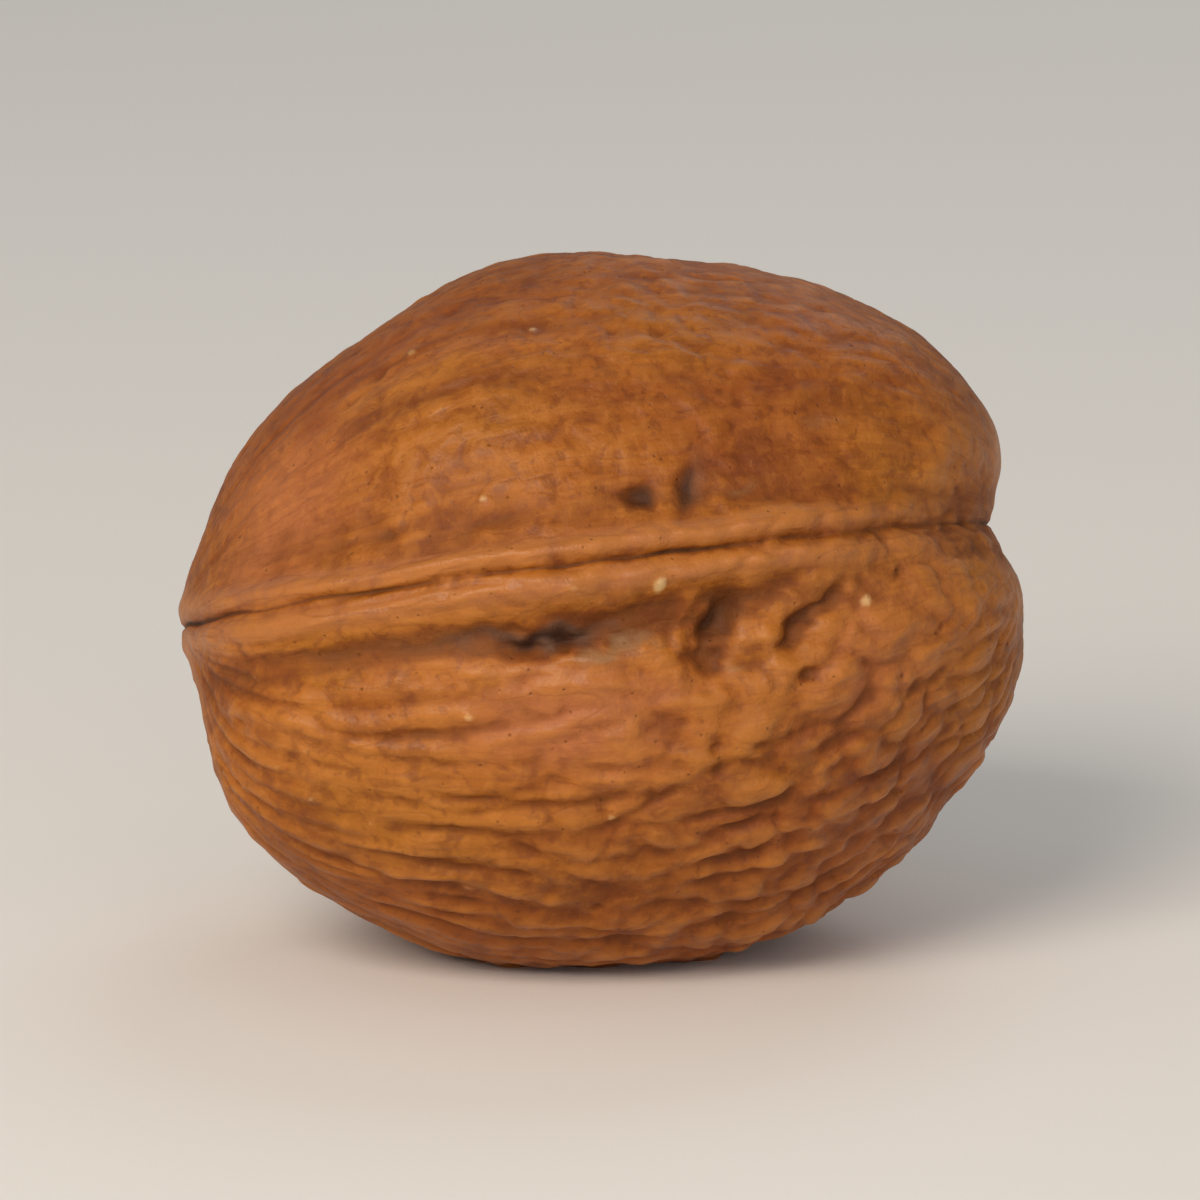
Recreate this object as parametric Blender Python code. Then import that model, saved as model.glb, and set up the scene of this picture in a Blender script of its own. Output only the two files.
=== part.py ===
"""A walnut in its closed shell, lying on the fuller of its two cheeks.

The nut is shaped in its own frame and then rolled and tipped the way it lies. In its own
frame the long axis is X with the pointed tip at -X, the seam runs round in the XY plane,
and the two cheeks bulge to +Z and -Z. Lengths are in metres and angles in degrees, or in
radians inside the functions.

A place on the shell is a pair of angles: theta from the tip (0) to the butt (180), and
phi round the long axis from the front seam (0) over the upper cheek (90) to the back
seam (180) and the lower cheek (-90).
"""

import math

import bmesh
import bpy
import numpy as np
from mathutils import Matrix

MM = 0.001

# The bare shell, before its seam and furrows
LENGTH = 39.6 * MM
WIDTH_ACROSS_SEAM = 32.8 * MM
UPPER_CHEEK = 15.8 * MM
LOWER_CHEEK = 18.2 * MM
# How square the outline is, from 2 for an ellipse upwards
TIP_SQUARENESS_UPPER = 1.95
TIP_SQUARENESS_LOWER = 2.75
BUTT_SQUARENESS = 2.2

# The seam: two lips with a crack between them, which sink into a valley at the butt
LIP_OFFSET = 0.85 * MM
LIP_WIDTH = 0.60 * MM
LIP_HEIGHT = 0.55 * MM
LIP_LEFT_AT_TIP = 0.3
LIP_LEFT_AT_BUTT = 0.25
CRACK_WIDTH = 0.20 * MM
CRACK_DEPTH = 0.50 * MM
SHOULDER_WIDTH = 2.1 * MM
SHOULDER_HEIGHT = 0.40 * MM
BESIDE_OFFSET = 2.9 * MM
BESIDE_WIDTH = 1.0 * MM
BESIDE_DEPTH = 0.40 * MM
UPPER_BESIDE_SHARE = 0.25
VALLEY_WIDTH = 2.5 * MM
VALLEY_DEPTH = 1.6 * MM
LIPS_RISE = (3, 40)
LIPS_SINK = (100, 150)
SEAM_WANDER = 0.35 * MM
SEAM_WAVE_LENGTH = 27.0

# The tip, and the scar at the butt where the stalk was
BEAK_HEIGHT = 0.75 * MM
BEAK_WIDTH = 3.4 * MM
SCAR_RADIUS = 2.4 * MM
SCAR_DISH = 0.35 * MM
SLIT_WIDTH = 0.22 * MM
SLIT_DEPTH = 0.65 * MM
# Each slit's direction round the axis, and how far it reaches from the middle
SLITS = ((28, 2.3 * MM), (95, 1.7 * MM), (150, 2.6 * MM), (232, 1.9 * MM), (300, 2.5 * MM))

# Furrows from the tip to the butt, and shorter ones that bridge from each to the next
FURROW_WIDTH = 0.45 * MM
FURROW_DEPTH = 0.30 * MM
FURROW_SWAY = 1.6
FRONT_FURROWS = (31, 47, 62, -22, -35, -47, -59, -70)
# The hidden side's furrows: from one angle to another, and how many
HIDDEN_FURROWS = ((76, 156, 6), (202, 280, 6))
FURROW_START = 7
FURROW_END = (143, 163)
# Shorter furrows between those of the front, which fan out from the tip
FAN_FURROWS = (39, -28, -41, -53, -65)
FAN_START = 17
FAN_END = (80, 112)
BRIDGES_PER_GAP = 2
BRIDGE_START = (26, 126)
BRIDGE_RUN = (23, 43)
FURROW_TAPER = 7
UPPER_FURROW_SHARE = 0.42

# Ripples that run with the furrows, and run into one another
RIPPLE_COUNT = 60
RIPPLE_HEIGHT = 0.13 * MM
RIPPLE_SWAY = 1.0
RIPPLE_PATCH_ROUND = 4.5 * MM
RIPPLE_PATCH_ALONG = 6.5 * MM
UPPER_RIPPLE_SHARE = 0.25
# Furrows and ripples give way to the net towards the butt
GIVE_WAY = (100, 140)
LEFT_AT_BUTT = 0.35

# The net of grooves, whose cells are domed and longer than they are wide
NET_DEPTH = 0.18 * MM
NET_DOME = 0.24 * MM
NET_SPACING_ROUND = 2.3 * MM
NET_SPACING_ALONG = 2.7 * MM
NET_LINE = 0.26
NET_BEND = 0.6

# Broad swells of the shell, and smaller knobs
LUMP_SIZE = 8.0 * MM
LUMP_HEIGHT = 0.55 * MM
KNOB_SIZE = 2.6 * MM
KNOB_HEIGHT = 0.27 * MM

# How much net and knobs show: at least everywhere, and on the upper cheek near the butt
LEAST_ROUGH = 0.2
UPPER_ROUGH = 0.26
ROUGH_FROM = (50, 110)

# Hollows beside the seam and the broad form of the shell, as theta, phi, the turn of their
# length away from the meridian, half length, half width and height
HOLLOWS = (
    (74, -12.0, 0, 6.0 * MM, 1.2 * MM, -0.42 * MM),
    (72.5, -12.8, 0, 2.6 * MM, 0.5 * MM, -0.60 * MM),
    (108, -14.5, 0, 4.4 * MM, 2.8 * MM, -0.55 * MM),
    (100, -13.6, 60, 2.3 * MM, 0.9 * MM, -0.80 * MM),
    (115.8, -14.2, 33, 2.4 * MM, 0.5 * MM, -0.55 * MM),
    (98, 11.0, 65, 1.5 * MM, 0.5 * MM, -0.25 * MM),
    (72, 168.0, 0, 4.8 * MM, 1.0 * MM, -0.80 * MM),
    (104, 191.0, 10, 3.0 * MM, 1.3 * MM, -0.95 * MM),
    (118, 165.0, 60, 2.0 * MM, 1.2 * MM, -0.70 * MM),
)
BROAD_FORMS = (
    (50, 85, 0, 7.0 * MM, 9.0 * MM, -0.8 * MM),
    (125, 85, 0, 6.5 * MM, 9.0 * MM, -1.1 * MM),
    (130, -72, 0, 6.0 * MM, 8.0 * MM, -0.5 * MM),
    (98, -95, 0, 8.0 * MM, 12.0 * MM, 0.7 * MM),
    (28, -50, 0, 6.0 * MM, 8.0 * MM, 1.1 * MM),
    (150, 40, 0, 5.0 * MM, 6.0 * MM, 0.3 * MM),
    (150, -40, 0, 5.0 * MM, 6.0 * MM, 0.3 * MM),
)
# How steep the sides of such a patch are, from 1 upwards
HOLLOW_EDGE = 1.6
BROAD_EDGE = 1.0
# How far the outlines of the hollows wander, and over what length
RAGGED = 0.7 * MM
RAGGED_SIZE = 1.9 * MM

# How the nut lies, and the small flat spot it rests on, round which the relief is worn
ROLL = 15.0
TIP_DROOP = 5.6
FLAT_SPOT_DEPTH = 0.55 * MM
WORN_RADIUS = 5.5 * MM
WORN_AWAY = 0.85

# The mesh: formed finely, with its columns crowded at the seam, then thinned
COLUMNS = 300
ROWS = 190
SEAM_CROWDING = 0.55
MOST_TRIANGLES = 11600
SHORTEST_RIM_EDGE = 0.1 * MM

SEED = 23
SHELL_COLOUR = (0.40, 0.16, 0.045, 1.0)
SHELL_ROUGHNESS = 0.62


def clear_scene():
    """Removes whatever the scene holds."""
    for obj in list(bpy.data.objects):
        bpy.data.objects.remove(obj)


def gradient_noise(points, seed):
    """Smooth noise of about -1 to 1 that changes over one unit of length."""
    draw = np.random.default_rng(seed)
    order = draw.permutation(256)
    slopes = draw.normal(size=(256, 3))
    slopes /= np.linalg.norm(slopes, axis=1, keepdims=True)
    cell = np.floor(points).astype(int)
    inside = points - cell
    ease = inside**3 * (inside * (inside * 6 - 15) + 10)
    total = np.zeros(len(points))
    for corner in np.ndindex(2, 2, 2):
        slope = slopes[shuffled(cell + corner, order)]
        weight = np.prod(np.where(corner, ease, 1 - ease), axis=1)
        total += weight * np.einsum("ij,ij->i", slope, inside - corner)
    return total * 1.6


def nearest_two(points, seed):
    """Distances to the nearest and the next of the points strewn one in each unit cell."""
    draw = np.random.default_rng(seed)
    strewn = draw.uniform(0.1, 0.9, (256, 3))
    order = draw.permutation(256)
    cell = np.floor(points).astype(int)
    first = np.full(len(points), np.inf)
    second = np.full(len(points), np.inf)
    for step in np.ndindex(3, 3, 3):
        other = cell + step - 1
        distance = np.linalg.norm(other + strewn[shuffled(other, order)] - points, axis=1)
        second = np.minimum(second, np.maximum(first, distance))
        first = np.minimum(first, distance)
    return first, second


def shuffled(cell, order):
    """A number from 0 to 255 for each cell, which looks random but is always the same."""
    at = cell & 255
    return order[(order[(order[at[:, 0]] + at[:, 1]) & 255] + at[:, 2]) & 255]


def smooth_step(low, high, value):
    """0 at low, 1 at high, and a smooth rise between."""
    share = np.clip((value - low) / (high - low), 0, 1)
    return share * share * (3 - 2 * share)


def between_angles(angles, theta):
    """0 up to the first of two angles in degrees, and 1 from the second."""
    return smooth_step(math.radians(angles[0]), math.radians(angles[1]), theta)


def lower_share(phi, least):
    """1 on the lower cheek, down to the least on the upper."""
    return least + (1 - least) * smooth_step(0.3, -0.3, np.sin(phi))


def bell(distance, width):
    """A round bump of height 1."""
    return np.exp(-((distance / width) ** 2))


def groove(distance, width):
    """The section of a furrow: narrow at the bottom, and easing out on to broad ridges."""
    return (1 + (distance / width) ** 2) ** -1.5


def turn_between(phi, other):
    """The signed angle from other to phi, from -pi to pi."""
    return (phi - other + math.pi) % (2 * math.pi) - math.pi


def directions(theta, phi):
    """Unit vectors in the nut's own frame."""
    ring = np.sin(theta)
    return np.stack([-np.cos(theta), -ring * np.cos(phi), ring * np.sin(phi)], axis=1)


def around_axis(theta, phi, spacing_round, spacing_along):
    """Points for a pattern whose cells run lengthwise and narrow towards both ends."""
    across = UPPER_CHEEK / spacing_round
    along = theta * UPPER_CHEEK / spacing_along
    return np.stack([np.cos(phi) * across, np.sin(phi) * across, along], axis=1)


def off_the_ends(theta):
    """Fades the lengthwise patterns where they would pinch together, most of all at the butt."""
    return between_angles((0, 30), theta) * between_angles((180, 135), theta)


def roughness(theta, phi):
    """How strong the net and knobs are: the lower cheek near the butt is the rough part."""
    towards_butt = between_angles(ROUGH_FROM, theta) * lower_share(phi, UPPER_ROUGH)
    return (LEAST_ROUGH + (1 - LEAST_ROUGH) * towards_butt) * off_the_ends(theta)


def give_way(theta):
    """How much of the furrows and ripples is left towards the butt."""
    return 1 - (1 - LEFT_AT_BUTT) * between_angles(GIVE_WAY, theta)


def bare_radius(theta, phi):
    """Distance from the centre to the plain ovoid under all the relief."""
    cheek = np.where(np.sin(phi) > 0, UPPER_CHEEK, LOWER_CHEEK)
    side = ((np.cos(phi) / (WIDTH_ACROSS_SEAM / 2)) ** 2 + (np.sin(phi) / cheek) ** 2) ** -0.5
    upper = (1 + np.sin(phi)) / 2
    tip = TIP_SQUARENESS_LOWER + (TIP_SQUARENESS_UPPER - TIP_SQUARENESS_LOWER) * upper
    power = tip + (BUTT_SQUARENESS - tip) * (1 - np.cos(theta)) / 2
    along = np.abs(np.cos(theta)) / (LENGTH / 2)
    return (along**power + (np.sin(theta) / side) ** power) ** (-1 / power)


def patches(theta, phi, radius, places, edge, ragged=0.0):
    """The summed height of oval patches, whose sides get steeper as edge rises from 1."""
    at = directions(theta, phi) * UPPER_CHEEK / RAGGED_SIZE
    bend_down = gradient_noise(at, SEED + 7) * ragged
    bend_sideways = gradient_noise(at, SEED + 8) * ragged
    total = np.zeros_like(theta)
    for at_theta, at_phi, turn, half_length, half_width, height in places:
        down = (theta - math.radians(at_theta)) * radius + bend_down
        sideways = turn_between(phi, math.radians(at_phi)) * radius * np.sin(theta) + bend_sideways
        cosine = math.cos(math.radians(turn))
        sine = math.sin(math.radians(turn))
        along = down * cosine + sideways * sine
        across = sideways * cosine - down * sine
        reach = (along / half_length) ** 2 + (across / half_width) ** 2
        total += height * np.exp(-(reach**edge))
    return total


def seam(theta, phi, radius):
    """Height of the lips, crack and valley along the seam."""
    front = np.sign(np.cos(phi))
    walk = np.stack([theta * math.degrees(1) / SEAM_WAVE_LENGTH, front * 3, theta * 0], axis=1)
    sway = gradient_noise(walk, SEED + 1) * SEAM_WANDER * np.sin(theta) ** 2
    off = np.abs(radius * np.sin(theta) * np.sin(phi) - sway)
    off_tip = between_angles(LIPS_RISE, theta)
    to_butt = between_angles(LIPS_SINK, theta)
    lips = LIP_HEIGHT * bell(off - LIP_OFFSET, LIP_WIDTH)
    lips *= LIP_LEFT_AT_TIP + (1 - LIP_LEFT_AT_TIP) * off_tip
    lips *= 1 - (1 - LIP_LEFT_AT_BUTT) * to_butt
    keel = off_tip * (1 - to_butt)
    shoulder = SHOULDER_HEIGHT * bell(off, SHOULDER_WIDTH) * keel
    beside = BESIDE_DEPTH * bell(off - BESIDE_OFFSET, BESIDE_WIDTH) * keel
    beside *= lower_share(phi, UPPER_BESIDE_SHARE)
    crack = CRACK_DEPTH * bell(off, CRACK_WIDTH) * (1 + off_tip) / 2
    valley = VALLEY_DEPTH * bell(off, VALLEY_WIDTH) * to_butt
    return lips + shoulder - beside - crack - valley


def furrow_paths():
    """Each furrow as its angle phi at theta, where it starts and ends, and its share of depth."""
    draw = np.random.default_rng(SEED)
    angles = [angle % 360 for angle in FRONT_FURROWS]
    for low, high, count in HIDDEN_FURROWS:
        step = (high - low) / count
        angles += [low + step * (i + draw.uniform(0.25, 0.75)) for i in range(count)]
    angles.sort()
    mains = [main_path(angle, SEED + 10 + i) for i, angle in enumerate(angles)]
    paths = []
    for main in mains:
        paths.append((main, FURROW_START, draw.uniform(*FURROW_END), draw.uniform(0.7, 1.0)))
    for i in range(len(angles) - 1):
        if angles[i] < 180 < angles[i + 1]:
            continue
        for _ in range(BRIDGES_PER_GAP):
            first = draw.uniform(*BRIDGE_START)
            last = first + draw.uniform(*BRIDGE_RUN)
            pair = mains[i : i + 2]
            if draw.random() < 0.5:
                pair = pair[::-1]
            paths.append((bridge_path(*pair, first, last), first, last, draw.uniform(0.6, 1.0)))
    for i, angle in enumerate(FAN_FURROWS):
        last = draw.uniform(*FAN_END)
        paths.append((main_path(angle, SEED + 90 + i), FAN_START, last, draw.uniform(0.65, 0.9)))
    return paths


def main_path(angle, seed):
    """A furrow that runs from the tip to the butt and sways on the way."""
    phases = np.random.default_rng(seed).uniform(0, 2 * math.pi, 3)

    def phi_at(theta):
        sway = np.sin(2.3 * theta + phases[0])
        sway += np.sin(5.1 * theta + phases[1]) / 2
        sway += np.sin(11.0 * theta + phases[2]) / 4
        return np.radians(angle + FURROW_SWAY * sway)

    return phi_at


def bridge_path(start_path, end_path, first, last):
    """A furrow that leaves one main furrow and joins the next."""

    def phi_at(theta):
        start = start_path(theta)
        return start + turn_between(end_path(theta), start) * between_angles((first, last), theta)

    return phi_at


def furrows(theta, phi, radius):
    """Depth of the furrows, which meet without getting deeper."""
    ring = radius * np.sin(theta)
    total = np.zeros_like(theta)
    for number, (phi_at, first, last, share) in enumerate(furrow_paths()):
        distance = turn_between(phi, phi_at(theta)) * ring
        walk = np.stack([theta * 2.6, np.full_like(theta, number * 3.7), theta * 0], axis=1)
        fade = np.clip(0.65 + 0.75 * gradient_noise(walk, SEED + 2), 0.1, 1.15)
        window = between_angles((first - FURROW_TAPER, first + FURROW_TAPER), theta)
        window *= between_angles((last + FURROW_TAPER, last - FURROW_TAPER), theta)
        total += (share * fade * window * groove(distance, FURROW_WIDTH)) ** 3
    share = lower_share(phi, UPPER_FURROW_SHARE) * give_way(theta)
    return FURROW_DEPTH * total ** (1 / 3) * share


def ripples(theta, phi):
    """Low ripples along the shell, which sway and run into one another."""
    points = around_axis(theta, phi, RIPPLE_PATCH_ROUND, RIPPLE_PATCH_ALONG)
    sway = gradient_noise(points, SEED + 40) + gradient_noise(points * 2.1, SEED + 41) / 2
    patchy = np.clip(0.6 + 0.8 * gradient_noise(points * 0.8, SEED + 42), 0, 1.2)
    wave = np.sin(RIPPLE_COUNT * phi + 2 * math.pi * RIPPLE_SWAY * sway)
    share = lower_share(phi, UPPER_RIPPLE_SHARE) * give_way(theta) * off_the_ends(theta)
    return RIPPLE_HEIGHT * wave * patchy * share


def net(theta, phi):
    """Depth of the net of grooves, and of the sides of the domed cells between them."""
    points = around_axis(theta, phi, NET_SPACING_ROUND, NET_SPACING_ALONG)
    bend = np.stack([gradient_noise(points * 0.9, SEED + 30 + i) for i in range(3)], axis=1)
    first, second = nearest_two(points + NET_BEND * bend, SEED + 3)
    depth = NET_DEPTH * bell(second - first, NET_LINE) + NET_DOME * first**2
    return depth * roughness(theta, phi)


def lumps(theta, phi):
    """Broad swells, and smaller knobs on the rough part."""
    at = directions(theta, phi) * UPPER_CHEEK
    broad = gradient_noise(at / LUMP_SIZE, SEED + 5) * LUMP_HEIGHT
    knobs = gradient_noise(at / KNOB_SIZE, SEED + 6) * KNOB_HEIGHT
    return broad + knobs * roughness(theta, phi)


def ends(theta, phi, radius):
    """The pointed tip, and the dished scar in the butt with its star of slits."""
    from_axis = radius * np.sin(theta)
    beak = BEAK_HEIGHT * bell(from_axis, BEAK_WIDTH)
    scar = SCAR_DISH * smooth_step(SCAR_RADIUS * 1.3, SCAR_RADIUS * 0.7, from_axis)
    for angle, reach in SLITS:
        turn = turn_between(phi, math.radians(angle))
        along = from_axis * np.cos(turn)
        inside = smooth_step(-SLIT_WIDTH, SLIT_WIDTH, along) * smooth_step(reach, reach / 2, along)
        slit = SLIT_DEPTH * groove(from_axis * np.sin(turn), SLIT_WIDTH) * inside
        scar = np.maximum(scar, slit)
    return np.where(theta < math.pi / 2, beak, -scar)


def lying_down():
    """The rotation that lays the nut on its lower cheek, seam tilted and tip drooping."""
    roll = Matrix.Rotation(-math.radians(ROLL), 3, "X")
    droop = Matrix.Rotation(-math.radians(TIP_DROOP), 3, "Y")
    return np.array(droop @ roll)


def worn(theta, phi):
    """How much of the fine relief is left: little where the nut rests."""
    down = -lying_down()[2]
    away = np.linalg.norm(directions(theta, phi) - down, axis=1) * LOWER_CHEEK
    return 1 - WORN_AWAY * np.exp(-((away / WORN_RADIUS) ** 4))


def shell_points(theta, phi):
    """The shell's surface at the given angles, in the nut's own frame."""
    radius = bare_radius(theta, phi)
    radius = radius + patches(theta, phi, radius, BROAD_FORMS, BROAD_EDGE)
    relief = seam(theta, phi, radius) + ends(theta, phi, radius) + ripples(theta, phi)
    relief += patches(theta, phi, radius, HOLLOWS, HOLLOW_EDGE, RAGGED)
    relief -= furrows(theta, phi, radius) + net(theta, phi)
    radius = radius + lumps(theta, phi) + relief * worn(theta, phi)
    return directions(theta, phi) * radius[:, None]


def form_shell():
    """A fine closed mesh of the shell, as the nut lies."""
    bm = bmesh.new()
    bmesh.ops.create_uvsphere(bm, u_segments=COLUMNS, v_segments=ROWS, radius=1)
    unit = np.array([v.co for v in bm.verts], float)
    theta = np.arccos(np.clip(unit[:, 2], -1, 1))
    column = np.arctan2(unit[:, 1], unit[:, 0])
    phi = column - SEAM_CROWDING * np.sin(2 * column) / 2
    for vert, point in zip(bm.verts, shell_points(theta, phi) @ lying_down().T):
        vert.co = point
    bmesh.ops.triangulate(bm, faces=bm.faces)
    mesh = bpy.data.meshes.new("shell_fine")
    bm.to_mesh(mesh)
    bm.free()
    return mesh


def thin_out(mesh):
    """The same shell in fewer triangles, kept where the relief is sharp."""
    fine = bpy.data.objects.new("shell_fine", mesh)
    bpy.context.scene.collection.objects.link(fine)
    thinner = fine.modifiers.new("Thin out", "DECIMATE")
    thinner.ratio = MOST_TRIANGLES / len(mesh.polygons)
    bpy.context.view_layer.update()
    graph = bpy.context.evaluated_depsgraph_get()
    thinned = bpy.data.meshes.new_from_object(fine.evaluated_get(graph))
    bpy.data.objects.remove(fine)
    return thinned


def set_on_flat_spot(mesh):
    """Cuts the small flat spot, and puts it at height 0 under the middle of the nut's box."""
    bm = bmesh.new()
    bm.from_mesh(mesh)
    lowest = min(v.co.z for v in bm.verts)
    cut = bmesh.ops.bisect_plane(
        bm,
        geom=[*bm.verts, *bm.edges, *bm.faces],
        plane_co=(0, 0, lowest + FLAT_SPOT_DEPTH),
        plane_no=(0, 0, -1),
        clear_outer=True,
    )
    rim = [item for item in cut["geom_cut"] if isinstance(item, bmesh.types.BMVert)]
    bmesh.ops.remove_doubles(bm, verts=rim, dist=SHORTEST_RIM_EDGE)
    open_edges = [edge for edge in bm.edges if edge.is_boundary]
    bmesh.ops.contextual_create(bm, geom=open_edges)
    points = np.array([v.co for v in bm.verts], float)
    low, high = points.min(axis=0), points.max(axis=0)
    foot = np.array([low[0] + high[0], low[1] + high[1], 2 * low[2]]) / 2
    bmesh.ops.translate(bm, verts=bm.verts, vec=-foot)
    bmesh.ops.recalc_face_normals(bm, faces=bm.faces)
    bm.to_mesh(mesh)
    bm.free()


def shell_material():
    """Dry brown shell, dull and slightly waxy."""
    material = bpy.data.materials.new("walnut_shell")
    material.use_nodes = True
    shader = material.node_tree.nodes["Principled BSDF"]
    shader.inputs["Base Color"].default_value = SHELL_COLOUR
    shader.inputs["Roughness"].default_value = SHELL_ROUGHNESS
    shader.inputs["Metallic"].default_value = 0.0
    return material


def main():
    """Builds the walnut."""
    clear_scene()
    mesh = thin_out(form_shell())
    set_on_flat_spot(mesh)
    mesh.name = "walnut"
    mesh.materials.append(shell_material())
    mesh.shade_smooth()
    walnut = bpy.data.objects.new("walnut", mesh)
    bpy.context.scene.collection.objects.link(walnut)


main()
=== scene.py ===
"""A walnut in its closed shell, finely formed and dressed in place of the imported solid.

The shell is one piece. Its surface is a distance from the nut's centre at each pair of
angles: theta from the tip (0) to the butt (180), and phi round the long axis from the front
seam (0) over the upper cheek (90) to the back seam (180) and the lower cheek (-90). Each
feature of the relief is a class that holds its sizes and gives its height at such places.

Sizes are in millimetres until the mesh is made. Angles are in degrees where they are
written and in radians inside the methods.
"""

import logging
import math
from abc import ABC, abstractmethod
from collections.abc import Sequence
from dataclasses import dataclass
from enum import Enum
from typing import Any

import bmesh
import bpy
import numpy as np
from mathutils import Matrix, Vector


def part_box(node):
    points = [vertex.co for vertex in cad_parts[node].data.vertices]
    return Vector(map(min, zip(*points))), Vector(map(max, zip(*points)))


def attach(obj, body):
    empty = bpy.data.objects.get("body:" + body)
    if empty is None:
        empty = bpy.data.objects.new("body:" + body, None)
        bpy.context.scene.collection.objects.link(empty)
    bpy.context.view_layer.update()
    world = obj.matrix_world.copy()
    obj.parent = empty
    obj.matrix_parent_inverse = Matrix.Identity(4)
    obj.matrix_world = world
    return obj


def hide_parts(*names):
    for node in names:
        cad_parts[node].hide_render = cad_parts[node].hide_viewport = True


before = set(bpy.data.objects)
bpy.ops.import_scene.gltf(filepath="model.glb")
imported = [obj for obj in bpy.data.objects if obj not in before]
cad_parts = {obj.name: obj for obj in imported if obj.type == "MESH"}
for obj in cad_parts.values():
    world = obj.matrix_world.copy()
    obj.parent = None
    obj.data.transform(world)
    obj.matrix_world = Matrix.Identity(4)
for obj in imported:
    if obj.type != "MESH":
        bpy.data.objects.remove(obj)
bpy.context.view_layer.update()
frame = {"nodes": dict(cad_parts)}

Array = np.ndarray
Node = bpy.types.Node
NodeSocket = bpy.types.NodeSocket

MM = 0.001
# Each noise and each random draw adds a number of its own to this
SEED = 23
# How many random slopes or points a noise draws, and what brings its peaks to about 1
TABLE_SIZE = 256
NOISE_GAIN = 1.6
# How far into its cell a strewn point may lie, from one side to the other
STREWN_WITHIN = (0.1, 0.9)
# How far each cheek stands out. The upper one is also where lengthwise spacings are true
UPPER_CHEEK = 15.8
LOWER_CHEEK = 18.2
# The sine of phi from which a place counts as upper, and the one from which it is lower
CHEEK_CHANGE = (0.3, -0.3)
# Where lengthwise patterns come in from the tip, and where they come in from the butt
TIP_FADE = (0, 30)
BUTT_FADE = (180, 135)
# Where furrows and ripples give way to the net towards the butt, and how much of them is left
GIVE_WAY = (100, 140)
LEFT_AT_BUTT = 0.35
# A furrow's sway is a sum of waves: how many in each 360 degrees of theta, and the part of each
SWAY_WAVES = ((2.3, 1.0), (5.1, 0.5), (11.0, 0.25))
NODE = "walnut"
BODY = "root"

log = logging.getLogger("walnut")


def gradient_noise(points: Array, seed: int) -> Array:
    """Gives smooth noise that changes over one unit of length.

    Args:
        points: The places, one in each row.
        seed: Which noise it is.

    Returns:
        A value of about -1 to 1 for each place.
    """
    draw = np.random.default_rng(seed)
    order = draw.permutation(TABLE_SIZE)
    slopes = draw.normal(size=(TABLE_SIZE, 3))
    slopes /= np.linalg.norm(slopes, axis=1, keepdims=True)
    cell = np.floor(points).astype(int)
    inside = points - cell
    ease = inside**3 * (inside * (inside * 6 - 15) + 10)
    total = np.zeros(len(points))
    for corner in np.ndindex(2, 2, 2):
        slope = slopes[shuffled(cell + corner, order)]
        weight = np.prod(np.where(corner, ease, 1 - ease), axis=1)
        total += weight * np.einsum("ij,ij->i", slope, inside - corner)
    return total * NOISE_GAIN


def nearest_two(points: Array, seed: int) -> tuple[Array, Array]:
    """Finds how far each place is from points strewn one in each unit cell.

    Args:
        points: The places, one in each row.
        seed: Which strewing it is.

    Returns:
        The distances to the nearest strewn point and to the next.
    """
    draw = np.random.default_rng(seed)
    strewn = draw.uniform(*STREWN_WITHIN, (TABLE_SIZE, 3))
    order = draw.permutation(TABLE_SIZE)
    cell = np.floor(points).astype(int)
    first = np.full(len(points), np.inf)
    second = np.full(len(points), np.inf)
    for step in np.ndindex(3, 3, 3):
        other = cell + step - 1
        distance = np.linalg.norm(other + strewn[shuffled(other, order)] - points, axis=1)
        second = np.minimum(second, np.maximum(first, distance))
        first = np.minimum(first, distance)
    return first, second


def shuffled(cell: Array, order: Array) -> Array:
    """Gives each cell a row of the noise's table that looks random but is always the same.

    Args:
        cell: Whole coordinates, one cell in each row.
        order: The table's row numbers in mixed order.

    Returns:
        The row number of each cell.
    """
    last = TABLE_SIZE - 1
    at = cell & last
    return order[(order[(order[at[:, 0]] + at[:, 1]) & last] + at[:, 2]) & last]


def smooth_step(low: float, high: float, value: Array) -> Array:
    """Rises smoothly from 0 at one value to 1 at another.

    Args:
        low: Where it is 0.
        high: Where it is 1.
        value: The values to look up.

    Returns:
        The share for each value.
    """
    share = np.clip((value - low) / (high - low), 0, 1)
    return share * share * (3 - 2 * share)


def between_angles(angles: tuple[float, float], theta: Array) -> Array:
    """Gives 0 up to the first of two angles in degrees, and 1 from the second."""
    return smooth_step(math.radians(angles[0]), math.radians(angles[1]), theta)


def bell(distance: Array, width: float) -> Array:
    """Gives a round bump of height 1."""
    return np.exp(-((distance / width) ** 2))


def groove(distance: Array, width: float) -> Array:
    """Gives a furrow's section: narrow at the bottom, easing out on to broad ridges."""
    return (1 + (distance / width) ** 2) ** -1.5


def turn_between(phi: Array, other: Array | float) -> Array:
    """Gives the signed angle from other to phi, from -pi to pi."""
    return (phi - other + math.pi) % (2 * math.pi) - math.pi


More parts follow.
